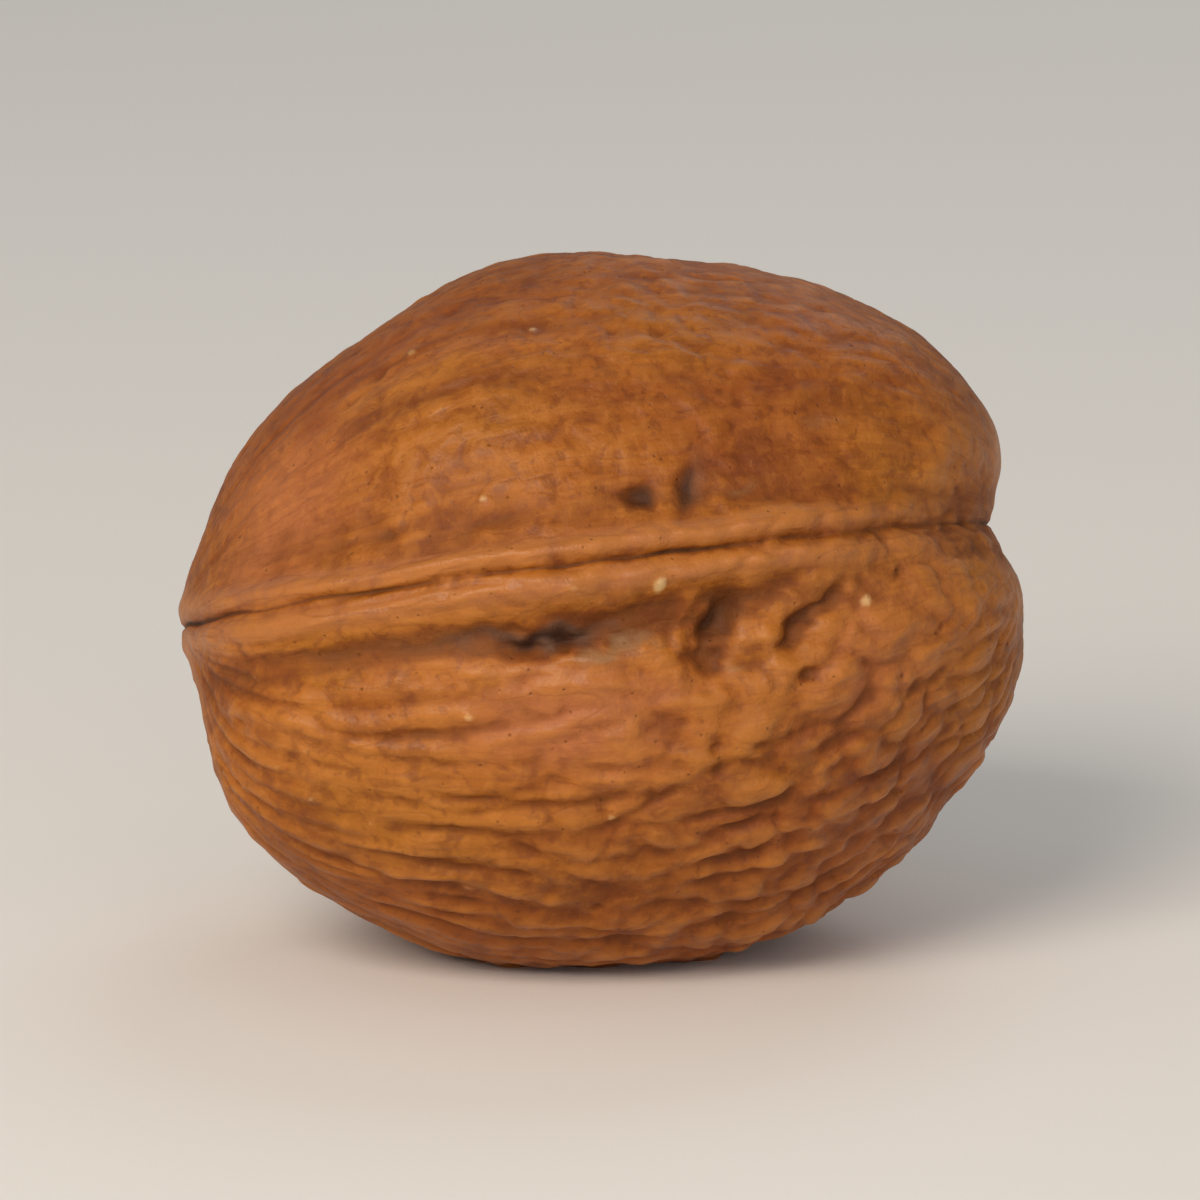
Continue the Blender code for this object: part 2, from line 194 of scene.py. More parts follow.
@dataclass(frozen=True)
class Places:
    """Places on the shell, given by their two angles in radians."""

    theta: Array
    phi: Array

    def directions(self) -> Array:
        """Gives the unit vectors towards the places, in the nut's own frame."""
        ring = np.sin(self.theta)
        return np.stack(
            [-np.cos(self.theta), -ring * np.cos(self.phi), ring * np.sin(self.phi)], axis=1
        )

    def lengthwise(self, spacing_round: float, spacing_along: float) -> Array:
        """Gives points for a pattern that runs lengthwise and narrows towards both ends.

        Args:
            spacing_round: Size of a cell of the pattern round the axis.
            spacing_along: Size of a cell of the pattern from tip to butt.

        Returns:
            The points, one in each row, with a cell in each unit.
        """
        across = UPPER_CHEEK / spacing_round
        along = self.theta * UPPER_CHEEK / spacing_along
        return np.stack([np.cos(self.phi) * across, np.sin(self.phi) * across, along], axis=1)

    def along_seam(self, scale: float, apart: float) -> Array:
        """Gives points for noise that changes along the seam.

        Args:
            scale: Units of the noise for each radian of theta.
            apart: How far the front seam's noise and the back one's are moved off the middle.

        Returns:
            The points, one in each row.
        """
        side = np.sign(np.cos(self.phi))
        return np.stack([self.theta * scale, side * apart, self.theta * 0], axis=1)

    def off_the_ends(self) -> Array:
        """Fades the lengthwise patterns where they would pinch together."""
        return between_angles(TIP_FADE, self.theta) * between_angles(BUTT_FADE, self.theta)

    def lower_share(self, least: float) -> Array:
        """Gives 1 on the lower cheek, down to the least on the upper."""
        return least + (1 - least) * smooth_step(*CHEEK_CHANGE, np.sin(self.phi))

    def left_near_butt(self) -> Array:
        """Gives how much of the furrows and ripples is left, as the net takes over."""
        return 1 - (1 - LEFT_AT_BUTT) * between_angles(GIVE_WAY, self.theta)


@dataclass(frozen=True)
class BareShell:
    """The plain ovoid under all the relief: length, width across the seam and two cheeks."""

    length: float = 39.6
    width_across_seam: float = 32.8
    upper_cheek: float = UPPER_CHEEK
    lower_cheek: float = LOWER_CHEEK
    tip_squareness_upper: float = 1.95
    tip_squareness_lower: float = 2.75
    butt_squareness: float = 2.2

    def radius(self, places: Places) -> Array:
        """Gives the distance from the centre to the bare shell.

        Args:
            places: Where on the shell.

        Returns:
            The distance at each place.
        """
        theta, phi = places.theta, places.phi
        cheek = np.where(np.sin(phi) > 0, self.upper_cheek, self.lower_cheek)
        half_width = self.width_across_seam / 2
        side = ((np.cos(phi) / half_width) ** 2 + (np.sin(phi) / cheek) ** 2) ** -0.5
        upper = (1 + np.sin(phi)) / 2
        tip_range = self.tip_squareness_upper - self.tip_squareness_lower
        tip = self.tip_squareness_lower + tip_range * upper
        power = tip + (self.butt_squareness - tip) * (1 - np.cos(theta)) / 2
        along = np.abs(np.cos(theta)) / (self.length / 2)
        return (along**power + (np.sin(theta) / side) ** power) ** (-1 / power)


class Relief(ABC):
    """A feature that stands on the bare shell or is sunk into it."""

    @abstractmethod
    def height(self, places: Places, radius: Array) -> Array:
        """Gives the feature's height at places on the shell, below 0 where it is sunk."""


@dataclass(frozen=True)
class Patch:
    """An oval patch: its middle, the turn of its length off the meridian, and its half sizes."""

    theta: float
    phi: float
    turn: float
    half_length: float
    half_width: float
    height: float


@dataclass(frozen=True)
class Patches(Relief):
    """Oval patches with ragged outlines, whose sides get steeper as edge rises from 1."""

    ovals: tuple[Patch, ...]
    edge: float = 1.0
    ragged: float = 0.0
    ragged_size: float = 1.9

    def height(self, places: Places, radius: Array) -> Array:
        """Gives the summed height of the patches.

        Args:
            places: Where on the shell.
            radius: The shell's radius there, without relief.

        Returns:
            The height at each place.
        """
        at = places.directions() * UPPER_CHEEK / self.ragged_size
        bend_down = gradient_noise(at, SEED + 7) * self.ragged
        bend_sideways = gradient_noise(at, SEED + 8) * self.ragged
        ring = radius * np.sin(places.theta)
        total = np.zeros_like(places.theta)
        for oval in self.ovals:
            down = (places.theta - math.radians(oval.theta)) * radius + bend_down
            sideways = turn_between(places.phi, math.radians(oval.phi)) * ring + bend_sideways
            cosine, sine = math.cos(math.radians(oval.turn)), math.sin(math.radians(oval.turn))
            along = down * cosine + sideways * sine
            across = sideways * cosine - down * sine
            reach = (along / oval.half_length) ** 2 + (across / oval.half_width) ** 2
            total += oval.height * np.exp(-(reach**self.edge))
        return total


BROAD_FORMS = Patches(
    (
        Patch(50, 85, 0, 7.0, 9.0, -0.8),
        Patch(125, 85, 0, 6.5, 9.0, -1.1),
        Patch(130, -72, 0, 6.0, 8.0, -0.5),
        Patch(98, -95, 0, 8.0, 12.0, 0.7),
        Patch(28, -50, 0, 6.0, 8.0, 1.1),
        Patch(150, 40, 0, 5.0, 6.0, 0.3),
        Patch(150, -40, 0, 5.0, 6.0, 0.3),
    )
)
HOLLOWS = Patches(
    (
        Patch(74, -12.0, 0, 6.0, 1.2, -0.42),
        Patch(72.5, -12.8, 0, 2.6, 0.5, -0.60),
        Patch(108, -14.5, 0, 4.4, 2.8, -0.55),
        Patch(100, -13.6, 60, 2.3, 0.9, -0.80),
        Patch(115.8, -14.2, 33, 2.4, 0.5, -0.55),
        Patch(98, 11.0, 65, 1.5, 0.5, -0.25),
        Patch(72, 168.0, 0, 4.8, 1.0, -0.80),
        Patch(104, 191.0, 10, 3.0, 1.3, -0.95),
        Patch(118, 165.0, 60, 2.0, 1.2, -0.70),
    ),
    edge=1.6,
    ragged=0.7,
)
# The sharp bottoms of those hollows and narrower ones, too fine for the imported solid's mesh
SHARP_HOLLOWS = Patches(
    (
        Patch(71.5, -12.6, 0, 2.1, 0.30, -0.45),
        Patch(90, 9.6, 0, 0.70, 0.62, -0.50),
        Patch(100, -13.6, 60, 1.5, 0.35, -0.30),
        Patch(115.8, -14.2, 33, 2.0, 0.26, -0.25),
        Patch(108, -23.5, 80, 0.9, 0.24, -0.22),
        Patch(66, 35.5, -4, 5.0, 0.35, -0.13),
        Patch(60, 50.0, -6, 5.5, 0.30, -0.10),
        Patch(104, 191.0, 10, 1.8, 0.4, -0.40),
    ),
    edge=1.2,
    ragged=0.45,
    ragged_size=0.9,
)
# Painted shade, nearly black, at the bottoms of the sharpest hollows, and a dark stain on
# the smudge above the seam
SHADE_AND_STAIN_SPOTS = Patches(
    (
        Patch(71.0, -12.4, 0, 2.3, 0.36, 0.75),
        Patch(90, 9.6, 0, 0.62, 0.54, 0.75),
        Patch(98, 10.8, 65, 1.4, 0.46, 0.7),
        Patch(100.8, -13.4, 60, 1.9, 1.15, 0.55),
        Patch(116, -14.0, 33, 1.9, 0.30, 0.42),
        Patch(108, -23.5, 80, 0.8, 0.24, 0.3),
        Patch(104, 191.0, 10, 1.8, 0.5, 0.7),
    ),
    edge=1.3,
    ragged=0.5,
    ragged_size=0.9,
)
# Long dark lines that run with the shell on its smoother cheek, with heights as shares
DARK_LINES = Patches(
    (
        Patch(62, 36.5, -4, 5.0, 0.42, 0.9),
        Patch(59, 51.0, -8, 5.5, 0.36, 0.9),
        Patch(82, 45.0, 4, 3.5, 0.34, 0.7),
        Patch(41, 60.0, 5, 5.0, 0.36, 0.8),
        Patch(60, 120.0, 3, 5.0, 0.30, 0.7),
        Patch(84, 140.0, -4, 6.0, 0.30, 0.6),
    ),
    ragged=0.5,
    ragged_size=2.6,
)
# Where damp has greyed the shell, beside the seam and in its hollows, with heights as shares
GREY_STAINS = Patches(
    (
        Patch(60, -11.0, 0, 4.0, 0.5, 0.5),
        Patch(73, -12.6, 0, 3.0, 0.7, 0.7),
        Patch(101, -12.0, 60, 1.8, 0.6, 0.3),
        Patch(100, 12.0, 65, 1.9, 0.8, 0.5),
        Patch(72, 168.0, 0, 4.6, 0.9, 0.6),
        Patch(104, 191.0, 10, 2.8, 1.1, 0.45),
    ),
    ragged=0.9,
    ragged_size=1.3,
)
# Where the shell has weathered pale
WEATHERED_PATCHES = Patches(
    (
        Patch(83, -14.6, 6, 2.5, 0.45, 0.9),
        Patch(107, 9.5, 10, 1.6, 0.5, 0.5),
        Patch(122, 21.0, -6, 2.4, 0.6, 0.45),
        Patch(103, -20.0, 0, 0.6, 0.4, 0.7),
        Patch(84, 164.0, 0, 2.2, 0.5, 0.7),
    ),
    ragged=0.7,
    ragged_size=1.0,
)
# Where the shell is rosier than its ground, with heights as shares
ROSY_PATCHES = Patches(
    (
        Patch(31, 27, 0, 4.5, 4.5, 0.85),
        Patch(74, -25, 0, 5.5, 3.4, 0.9),
        Patch(122, -26, 20, 3.6, 3.4, 0.6),
        Patch(140, -8, 0, 4.0, 4.5, 0.45),
        Patch(52, 60, 0, 6.0, 3.0, 0.5),
        Patch(69, 45, -8, 4.0, 1.2, 0.5),
        Patch(110, 205, 10, 6.0, 4.0, 0.6),
        Patch(60, 150, 0, 5.0, 4.0, 0.4),
    ),
    ragged=1.6,
    ragged_size=2.6,
)
# Where the shell is redder and darker, partly its own tone and partly painted shade on the
# bottom and the right-hand lobe, and where it is more golden
DEEP_AND_SHADED_PATCHES = Patches(
    (
        Patch(124, 48, 0, 9.0, 7.5, 0.5),
        Patch(52, 61, -6, 8.0, 3.0, 0.9),
        Patch(90, -88, 0, 17.0, 8.0, 0.9),
        Patch(106, 22, 10, 4.0, 2.6, 0.7),
        Patch(86, 31, 30, 1.8, 1.4, 0.5),
        Patch(56, -64, 0, 7.0, 3.0, 0.5),
        Patch(75, 80, 0, 13.0, 4.5, 0.6),
        Patch(125, -58, 10, 6.0, 4.0, 0.6),
        Patch(68.2, -37.6, 60, 0.8, 0.5, 0.7),
        Patch(110, -45, 0, 9.0, 10.0, 0.45),
        Patch(70, 215, 0, 9.0, 5.0, 0.5),
        Patch(120, 150, 0, 6.0, 5.0, 0.6),
    ),
    ragged=1.6,
    ragged_size=2.2,
)
GOLDEN_PATCHES = Patches(
    (
        Patch(108, -40.4, 20, 1.3, 1.0, 0.9),
        Patch(128.8, -40.4, 30, 1.1, 0.9, 0.8),
        Patch(55, -48, 0, 8.0, 4.5, 0.6),
        Patch(95, -62, 0, 5.0, 2.5, 0.6),
        Patch(64, 30, 0, 6.0, 4.0, 0.4),
        Patch(90, 240, 0, 7.0, 6.0, 0.6),
    ),
    ragged=1.0,
    ragged_size=1.6,
)
# Small hard beads of the shell that catch the light, and the height at which one is palest.
# Their pale colour is a painted glint
BEAD_HEIGHT = 0.22
BEADS = Patches(
    (
        Patch(28.4, -51.0, 0, 0.30, 0.24, 0.12),
        Patch(34.1, -37.6, 30, 0.30, 0.22, 0.11),
        Patch(37.9, -32.3, 0, 0.26, 0.22, 0.12),
        Patch(38.8, -43.3, 20, 0.34, 0.24, 0.13),
        Patch(46.4, -46.4, 0, 0.36, 0.22, 0.11),
        Patch(28.4, -18.1, 0, 0.28, 0.24, 0.10),
        Patch(59.7, -59.3, 0, 0.36, 0.28, 0.11),
        Patch(77.7, -3.8, 0, 0.34, 0.22, 0.12),
        Patch(65.4, 13.1, 0, 0.28, 0.26, 0.16),
        Patch(90.8, -5.0, 60, 0.42, 0.32, 0.26),
        Patch(125.1, -13.1, 40, 0.38, 0.28, 0.20),
        Patch(59.7, -24.1, 0, 0.28, 0.26, 0.16),
        Patch(80.5, -43.3, 0, 0.28, 0.24, 0.16),
        Patch(77.7, 46.4, 80, 0.30, 0.24, 0.16),
        Patch(57.8, 51.0, 0, 0.34, 0.22, 0.14),
    ),
    edge=1.3,
)


@dataclass(frozen=True)
class Seam(Relief):
    """Two lips with a crack between them, which sink into a valley at the butt."""

    lip_offset: float = 0.85
    lip_width: float = 0.60
    lip_height: float = 0.55
    lip_left_at_tip: float = 0.3
    lip_left_at_butt: float = 0.25
    crack_width: float = 0.20
    crack_depth: float = 0.50
    shoulder_width: float = 2.1
    shoulder_height: float = 0.40
    beside_offset: float = 2.9
    beside_width: float = 1.0
    beside_depth: float = 0.40
    upper_beside_share: float = 0.25
    valley_width: float = 2.5
    valley_depth: float = 1.6
    lips_rise: tuple[float, float] = (3, 40)
    lips_sink: tuple[float, float] = (100, 150)
    wander: float = 0.35
    # In degrees of theta
    wave_length: float = 27.0
    sides_apart: float = 3.0

    def offset(self, places: Places, radius: Array) -> Array:
        """Gives the signed distance from the crack's line.

        Args:
            places: Where on the shell.
            radius: The shell's radius there, without relief.

        Returns:
            The distance at each place, above 0 towards the upper cheek.
        """
        ring = np.sin(places.theta)
        walk = places.along_seam(math.degrees(1) / self.wave_length, self.sides_apart)
        sway = gradient_noise(walk, SEED + 1) * self.wander * ring**2
        return radius * ring * np.sin(places.phi) - sway

    def lips(self, places: Places, radius: Array) -> Array:
        """Gives how far each place is part of a lip, from 0 to 1.

        Args:
            places: Where on the shell.
            radius: The shell's radius there, without relief.

        Returns:
            The share at each place.
        """
        off = np.abs(self.offset(places, radius))
        share = bell(off - self.lip_offset, self.lip_width)
        rise = between_angles(self.lips_rise, places.theta)
        share *= self.lip_left_at_tip + (1 - self.lip_left_at_tip) * rise
        sink = between_angles(self.lips_sink, places.theta)
        return share * (1 - (1 - self.lip_left_at_butt) * sink)

    def height(self, places: Places, radius: Array) -> Array:
        """Gives the height of the lips, crack and valley.

        Args:
            places: Where on the shell.
            radius: The shell's radius there, without relief.

        Returns:
            The height at each place.
        """
        off = np.abs(self.offset(places, radius))
        off_tip = between_angles(self.lips_rise, places.theta)
        to_butt = between_angles(self.lips_sink, places.theta)
        keel = off_tip * (1 - to_butt)
        lips = self.lip_height * self.lips(places, radius)
        shoulder = self.shoulder_height * bell(off, self.shoulder_width) * keel
        beside = self.beside_depth * bell(off - self.beside_offset, self.beside_width) * keel
        beside *= places.lower_share(self.upper_beside_share)
        crack = self.crack_depth * bell(off, self.crack_width) * (1 + off_tip) / 2
        valley = self.valley_depth * bell(off, self.valley_width) * to_butt
        return lips + shoulder - beside - crack - valley


@dataclass(frozen=True)
class LipLines(Relief):
    """Fine lines along the seam's lips, the lips' outer edges, and the crack between them."""

    seam: Seam
    spacing: float = 0.62
    depth: float = 0.05
    band: float = 2.0
    # The lines waver and fade in patches of this size, by up to this many spacings
    patch_round: float = 2.4
    patch_along: float = 7.0
    waver: float = 1.2
    fading_scale: float = 0.7
    upper_groove_offset: float = 1.25
    upper_groove_width: float = 0.36
    upper_groove_depth: float = 0.26
    lower_rim_offset: float = 1.75
    lower_rim_width: float = 0.34
    lower_rim_height: float = 0.17
    edges_fade: tuple[float, float] = (78, 118)
    crack_width: float = 0.11
    crack_depth: float = 0.29
    crack_run: float = 4.5
    crack_jitter: float = 0.16
    crack_jitter_run: float = 2.4
    sides_apart: float = 500.0
    # How far the crack gapes on the whole, how much that varies, and the least that is left
    gape: float = 0.38
    gape_varies: float = 0.6
    least_gape: float = 0.2
    # How much more or less the crack gapes, from one angle to another
    crack_changes: tuple[tuple[float, float, float], ...] = (
        (0, 4, 0.40),
        (24, 40, -0.40),
        (72, 96, 0.30),
        (103, 122, -0.60),
        (138, 155, 0.35),
    )

    def crack(self, places: Places, radius: Array) -> Array:
        """Gives how deep the crack is at each place, from 0 to 1, deepest where it gapes.

        Args:
            places: Where on the shell.
            radius: The shell's radius there, without relief.

        Returns:
            The share at each place.
        """
        walk = places.along_seam(UPPER_CHEEK, self.sides_apart)
        off = self.seam.offset(places, radius)
        off += self.crack_jitter * gradient_noise(walk / self.crack_jitter_run, SEED + 49)
        gape = self.gape + self.gape_varies * gradient_noise(walk / self.crack_run, SEED + 50)
        for first, last, change in self.crack_changes:
            gape += change * between_angles((first, last), places.theta)
        return bell(off, self.crack_width) * np.clip(gape, self.least_gape, 1)

    def height(self, places: Places, radius: Array) -> Array:
        """Gives the height of the lines and edges, less the crack.

        Args:
            places: Where on the shell.
            radius: The shell's radius there, without relief.

        Returns:
            The height at each place.
        """
        off = self.seam.offset(places, radius)
        points = places.lengthwise(self.patch_round, self.patch_along)
        bend = gradient_noise(points, SEED + 51) * self.waver
        patchy = np.clip(0.5 + gradient_noise(points * self.fading_scale, SEED + 52), 0, 1)
        lines = np.sin(2 * math.pi * (off / self.spacing + bend)) * patchy
        lines *= bell(off, self.band) * places.off_the_ends()
        left = between_angles(self.seam.lips_rise, places.theta)
        left *= 1 - between_angles(self.edges_fade, places.theta)
        edges = self.lower_rim_height * bell(off + self.lower_rim_offset, self.lower_rim_width)
        from_groove = off - self.upper_groove_offset
        edges -= self.upper_groove_depth * bell(from_groove, self.upper_groove_width)
        return self.depth * lines + edges * left - self.crack_depth * self.crack(places, radius)


@dataclass(frozen=True)
class MainFurrow:
    """A furrow that runs from the tip to the butt and sways on the way."""

    angle: float
    seed: int
    sway: float
    first: float
    last: float
    share: float

    def phi(self, theta: Array) -> Array:
        """Gives the furrow's angle round the axis.

        Args:
            theta: The angles from the tip.

        Returns:
            The angle round the axis at each.
        """
        draw = np.random.default_rng(self.seed)
        phases = draw.uniform(0, 2 * math.pi, len(SWAY_WAVES))
        swing = np.zeros_like(theta)
        for (waves, part), phase in zip(SWAY_WAVES, phases):
            swing += part * np.sin(waves * theta + phase)
        return np.radians(self.angle + self.sway * swing)


@dataclass(frozen=True)
class BridgeFurrow:
    """A furrow that leaves one main furrow and joins the next."""

    start: MainFurrow
    end: MainFurrow
    first: float
    last: float
    share: float

    def phi(self, theta: Array) -> Array:
        """Gives the furrow's angle round the axis.

        Args:
            theta: The angles from the tip.

        Returns:
            The angle round the axis at each.
        """
        start = self.start.phi(theta)
        crossed = between_angles((self.first, self.last), theta)
        return start + turn_between(self.end.phi(theta), start) * crossed


@dataclass(frozen=True)
class Furrows(Relief):
    """Furrows from tip to butt, bridges between them, and a fan of short ones at the tip."""

    width: float = 0.45
    depth: float = 0.30
    sway: float = 1.6
    front: tuple[float, ...] = (31, 47, 62, -22, -35, -47, -59, -70)
    hidden: tuple[tuple[float, float, int], ...] = ((76, 156, 6), (202, 280, 6))
    hidden_spread: tuple[float, float] = (0.25, 0.75)
    start: float = 7
    end: tuple[float, float] = (143, 163)
    share: tuple[float, float] = (0.7, 1.0)
    fan: tuple[float, ...] = (39, -28, -41, -53, -65)
    fan_start: float = 17
    fan_end: tuple[float, float] = (80, 112)
    fan_share: tuple[float, float] = (0.65, 0.9)
    bridges_per_gap: int = 2
    bridge_start: tuple[float, float] = (26, 126)
    bridge_run: tuple[float, float] = (23, 43)
    bridge_share: tuple[float, float] = (0.6, 1.0)
    taper: float = 7
    upper_share: float = 0.42
    # A furrow's depth varies on the way, about this and by this much, within these limits
    fade_middle: float = 0.65
    fade_varies: float = 0.75
    fade_limits: tuple[float, float] = (0.1, 1.15)
    fades_per_radian: float = 2.6
    fades_apart: float = 3.7
    # The higher, the less they deepen where they meet
    meeting: int = 3

    def of_one_kind(
        self,
        draw: np.random.Generator,
        angles: Sequence[float],
        seed: int,
        start: float,
        end: tuple[float, float],
        share: tuple[float, float],
    ) -> list[MainFurrow]:
        """Draws furrows that start alike.

        Args:
            draw: Where the random numbers come from.
            angles: The furrows' angles round the axis.
            seed: The first one's seed.
            start: Where they start.
            end: The range of where they end.
            share: The range of their depths as shares.

        Returns:
            The furrows.
        """
        return [
            MainFurrow(
                angle, seed + number, self.sway, start, draw.uniform(*end), draw.uniform(*share)
            )
            for number, angle in enumerate(angles)
        ]

    def paths(self) -> list[MainFurrow | BridgeFurrow]:
        """Draws the furrows' courses.

        Returns:
            The main furrows, then the bridges, then the fan.
        """
        draw = np.random.default_rng(SEED)
        angles = [angle % 360 for angle in self.front]
        for low, high, count in self.hidden:
            step = (high - low) / count
            angles += [low + step * (i + draw.uniform(*self.hidden_spread)) for i in range(count)]
        angles.sort()
        mains = self.of_one_kind(draw, angles, SEED + 10, self.start, self.end, self.share)
        bridges = []
        for one, other in zip(mains, mains[1:]):
            if one.angle < 180 < other.angle:
                continue
            for _ in range(self.bridges_per_gap):
                first = draw.uniform(*self.bridge_start)
                last = first + draw.uniform(*self.bridge_run)
                ends = (other, one) if draw.random() < 0.5 else (one, other)
                share = draw.uniform(*self.bridge_share)
                bridges.append(BridgeFurrow(*ends, first, last, share))
        fan = self.of_one_kind(
            draw, self.fan, SEED + 90, self.fan_start, self.fan_end, self.fan_share
        )
        return mains + bridges + fan

    def height(self, places: Places, radius: Array) -> Array:
        """Gives the furrows' depth as a height below 0. They meet without getting deeper.

        Args:
            places: Where on the shell.
            radius: The shell's radius there, without relief.

        Returns:
            The height at each place.
        """
        theta = places.theta
        ring = radius * np.sin(theta)
        total = np.zeros_like(theta)
        for number, path in enumerate(self.paths()):
            distance = turn_between(places.phi, path.phi(theta)) * ring
            apart = np.full_like(theta, number * self.fades_apart)
            walk = np.stack([theta * self.fades_per_radian, apart, theta * 0], axis=1)
            fade = self.fade_middle + self.fade_varies * gradient_noise(walk, SEED + 2)
            fade = np.clip(fade, *self.fade_limits)
            window = between_angles((path.first - self.taper, path.first + self.taper), theta)
            window *= between_angles((path.last + self.taper, path.last - self.taper), theta)
            total += (path.share * fade * window * groove(distance, self.width)) ** self.meeting
        share = places.lower_share(self.upper_share) * places.left_near_butt()
        return -self.depth * total ** (1 / self.meeting) * share


@dataclass(frozen=True)
class Ripples(Relief):
    """Low ripples along the shell, which sway and run into one another."""

    count: int = 60
    rise: float = 0.13
    sway: float = 1.0
    patch_round: float = 4.5
    patch_along: float = 6.5
    upper_share: float = 0.25
    seed: int = SEED + 40
    # How much finer the smaller swings are than the larger
    finer: float = 2.1
    # Their height varies over the shell, about this and by this much, up to this most
    patch_middle: float = 0.6
    patch_varies: float = 0.8
    patch_most: float = 1.2
    patch_scale: float = 0.8
    # The ring radii between which they come in, so that they never crowd past the mesh
    comes_in: tuple[float, float] = (0.0, 1.0)

    def height(self, places: Places, radius: Array) -> Array:
        """Gives the ripples' height.

        Args:
            places: Where on the shell.
            radius: The shell's radius there, without relief.

        Returns:
            The height at each place.
        """
        points = places.lengthwise(self.patch_round, self.patch_along)
        swing = gradient_noise(points, self.seed)
        swing += gradient_noise(points * self.finer, self.seed + 1) / 2
        patchy = self.patch_varies * gradient_noise(points * self.patch_scale, self.seed + 2)
        patchy = np.clip(self.patch_middle + patchy, 0, self.patch_most)
        wave = np.sin(self.count * places.phi + 2 * math.pi * self.sway * swing)
        share = places.lower_share(self.upper_share) * places.left_near_butt()
        share *= places.off_the_ends()
        share *= smooth_step(*self.comes_in, radius * np.sin(places.theta))
        return self.rise * wave * patchy * share


@dataclass(frozen=True)
class RoughPart:
    """How strong the net and the knobs are: the lower cheek near the butt is the rough part."""

    least: float = 0.2
    upper: float = 0.26
    starts: tuple[float, float] = (50, 110)

    def share(self, places: Places) -> Array:
        """Gives the strength at each place, from 0 to 1.

        Args:
            places: Where on the shell.

        Returns:
            The strength at each place.
        """
        towards_butt = between_angles(self.starts, places.theta) * places.lower_share(self.upper)
        return (self.least + (1 - self.least) * towards_butt) * places.off_the_ends()


@dataclass(frozen=True)
class Net(Relief):
    """A net of grooves between small domed cells, longer than they are wide."""

    depth: float = 0.18
    dome: float = 0.24
    spacing_round: float = 2.3
    spacing_along: float = 2.7
    line: float = 0.26
    bend: float = 0.6
    bend_scale: float = 0.9
    seed: int = SEED + 3
    rough_part: RoughPart = RoughPart()

    def height(self, places: Places, radius: Array) -> Array:
        """Gives the depth of the grooves and of the cells' sides as a height below 0.

        Args:
            places: Where on the shell.
            radius: The shell's radius there, without relief. It is not used.

        Returns:
            The height at each place.
        """
        points = places.lengthwise(self.spacing_round, self.spacing_along)
        at = points * self.bend_scale
        bends = [gradient_noise(at, self.seed + 27 + i) for i in range(3)]
        first, second = nearest_two(points + self.bend * np.stack(bends, axis=1), self.seed)
        depth = self.depth * bell(second - first, self.line) + self.dome * first**2
        return -depth * self.rough_part.share(places)


@dataclass(frozen=True)
class Lumps(Relief):
    """Broad swells of the shell, and smaller knobs on its rough part."""

    swell_size: float = 8.0
    swell_height: float = 0.55
    knob_size: float = 2.6
    knob_height: float = 0.27
    rough_part: RoughPart = RoughPart()

    def height(self, places: Places, radius: Array) -> Array:
        """Gives the height of the swells and knobs.

        Args:
            places: Where on the shell.
            radius: The shell's radius there, without relief. It is not used.

        Returns:
            The height at each place.
        """
        at = places.directions() * UPPER_CHEEK
        swells = gradient_noise(at / self.swell_size, SEED + 5) * self.swell_height
        knobs = gradient_noise(at / self.knob_size, SEED + 6) * self.knob_height
        return swells + knobs * self.rough_part.share(places)


@dataclass(frozen=True)
class Ends(Relief):
    """The pointed tip, and the dished scar in the butt with its star of slits."""

    beak_height: float = 0.75
    beak_width: float = 3.4
    scar_radius: float = 2.4
    # How soft its edge is, as a share of its radius
    scar_edge: float = 0.3
    scar_dish: float = 0.35
    slit_width: float = 0.22
    slit_depth: float = 0.65
    # Each slit's angle round the axis and its reach
    slits: tuple[tuple[float, float], ...] = (
        (28, 2.3),
        (95, 1.7),
        (150, 2.6),
        (232, 1.9),
        (300, 2.5),
    )

    def scar(self, places: Places, radius: Array) -> Array:
        """Gives 1 in the scar and 0 outside it.

        Args:
            places: Where on the shell.
            radius: The shell's radius there, without relief.

        Returns:
            The share at each place.
        """
        from_axis = radius * np.sin(places.theta)
        outer, inner = 1 + self.scar_edge, 1 - self.scar_edge
        inside = smooth_step(self.scar_radius * outer, self.scar_radius * inner, from_axis)
        return np.where(places.theta > math.pi / 2, inside, 0)

    def height(self, places: Places, radius: Array) -> Array:
        """Gives the height of the beak and of the scar.

        Args:
            places: Where on the shell.
            radius: The shell's radius there, without relief.

        Returns:
            The height at each place.
        """
        from_axis = radius * np.sin(places.theta)
        beak = self.beak_height * bell(from_axis, self.beak_width)
        depth = self.scar_dish * self.scar(places, radius)
        for angle, reach in self.slits:
            turn = turn_between(places.phi, math.radians(angle))
            along = from_axis * np.cos(turn)
            inside = smooth_step(-self.slit_width, self.slit_width, along)
            inside *= smooth_step(reach, reach / 2, along)
            across = from_axis * np.sin(turn)
            depth = np.maximum(depth, self.slit_depth * groove(across, self.slit_width) * inside)
        return np.where(places.theta < math.pi / 2, beak, -depth)


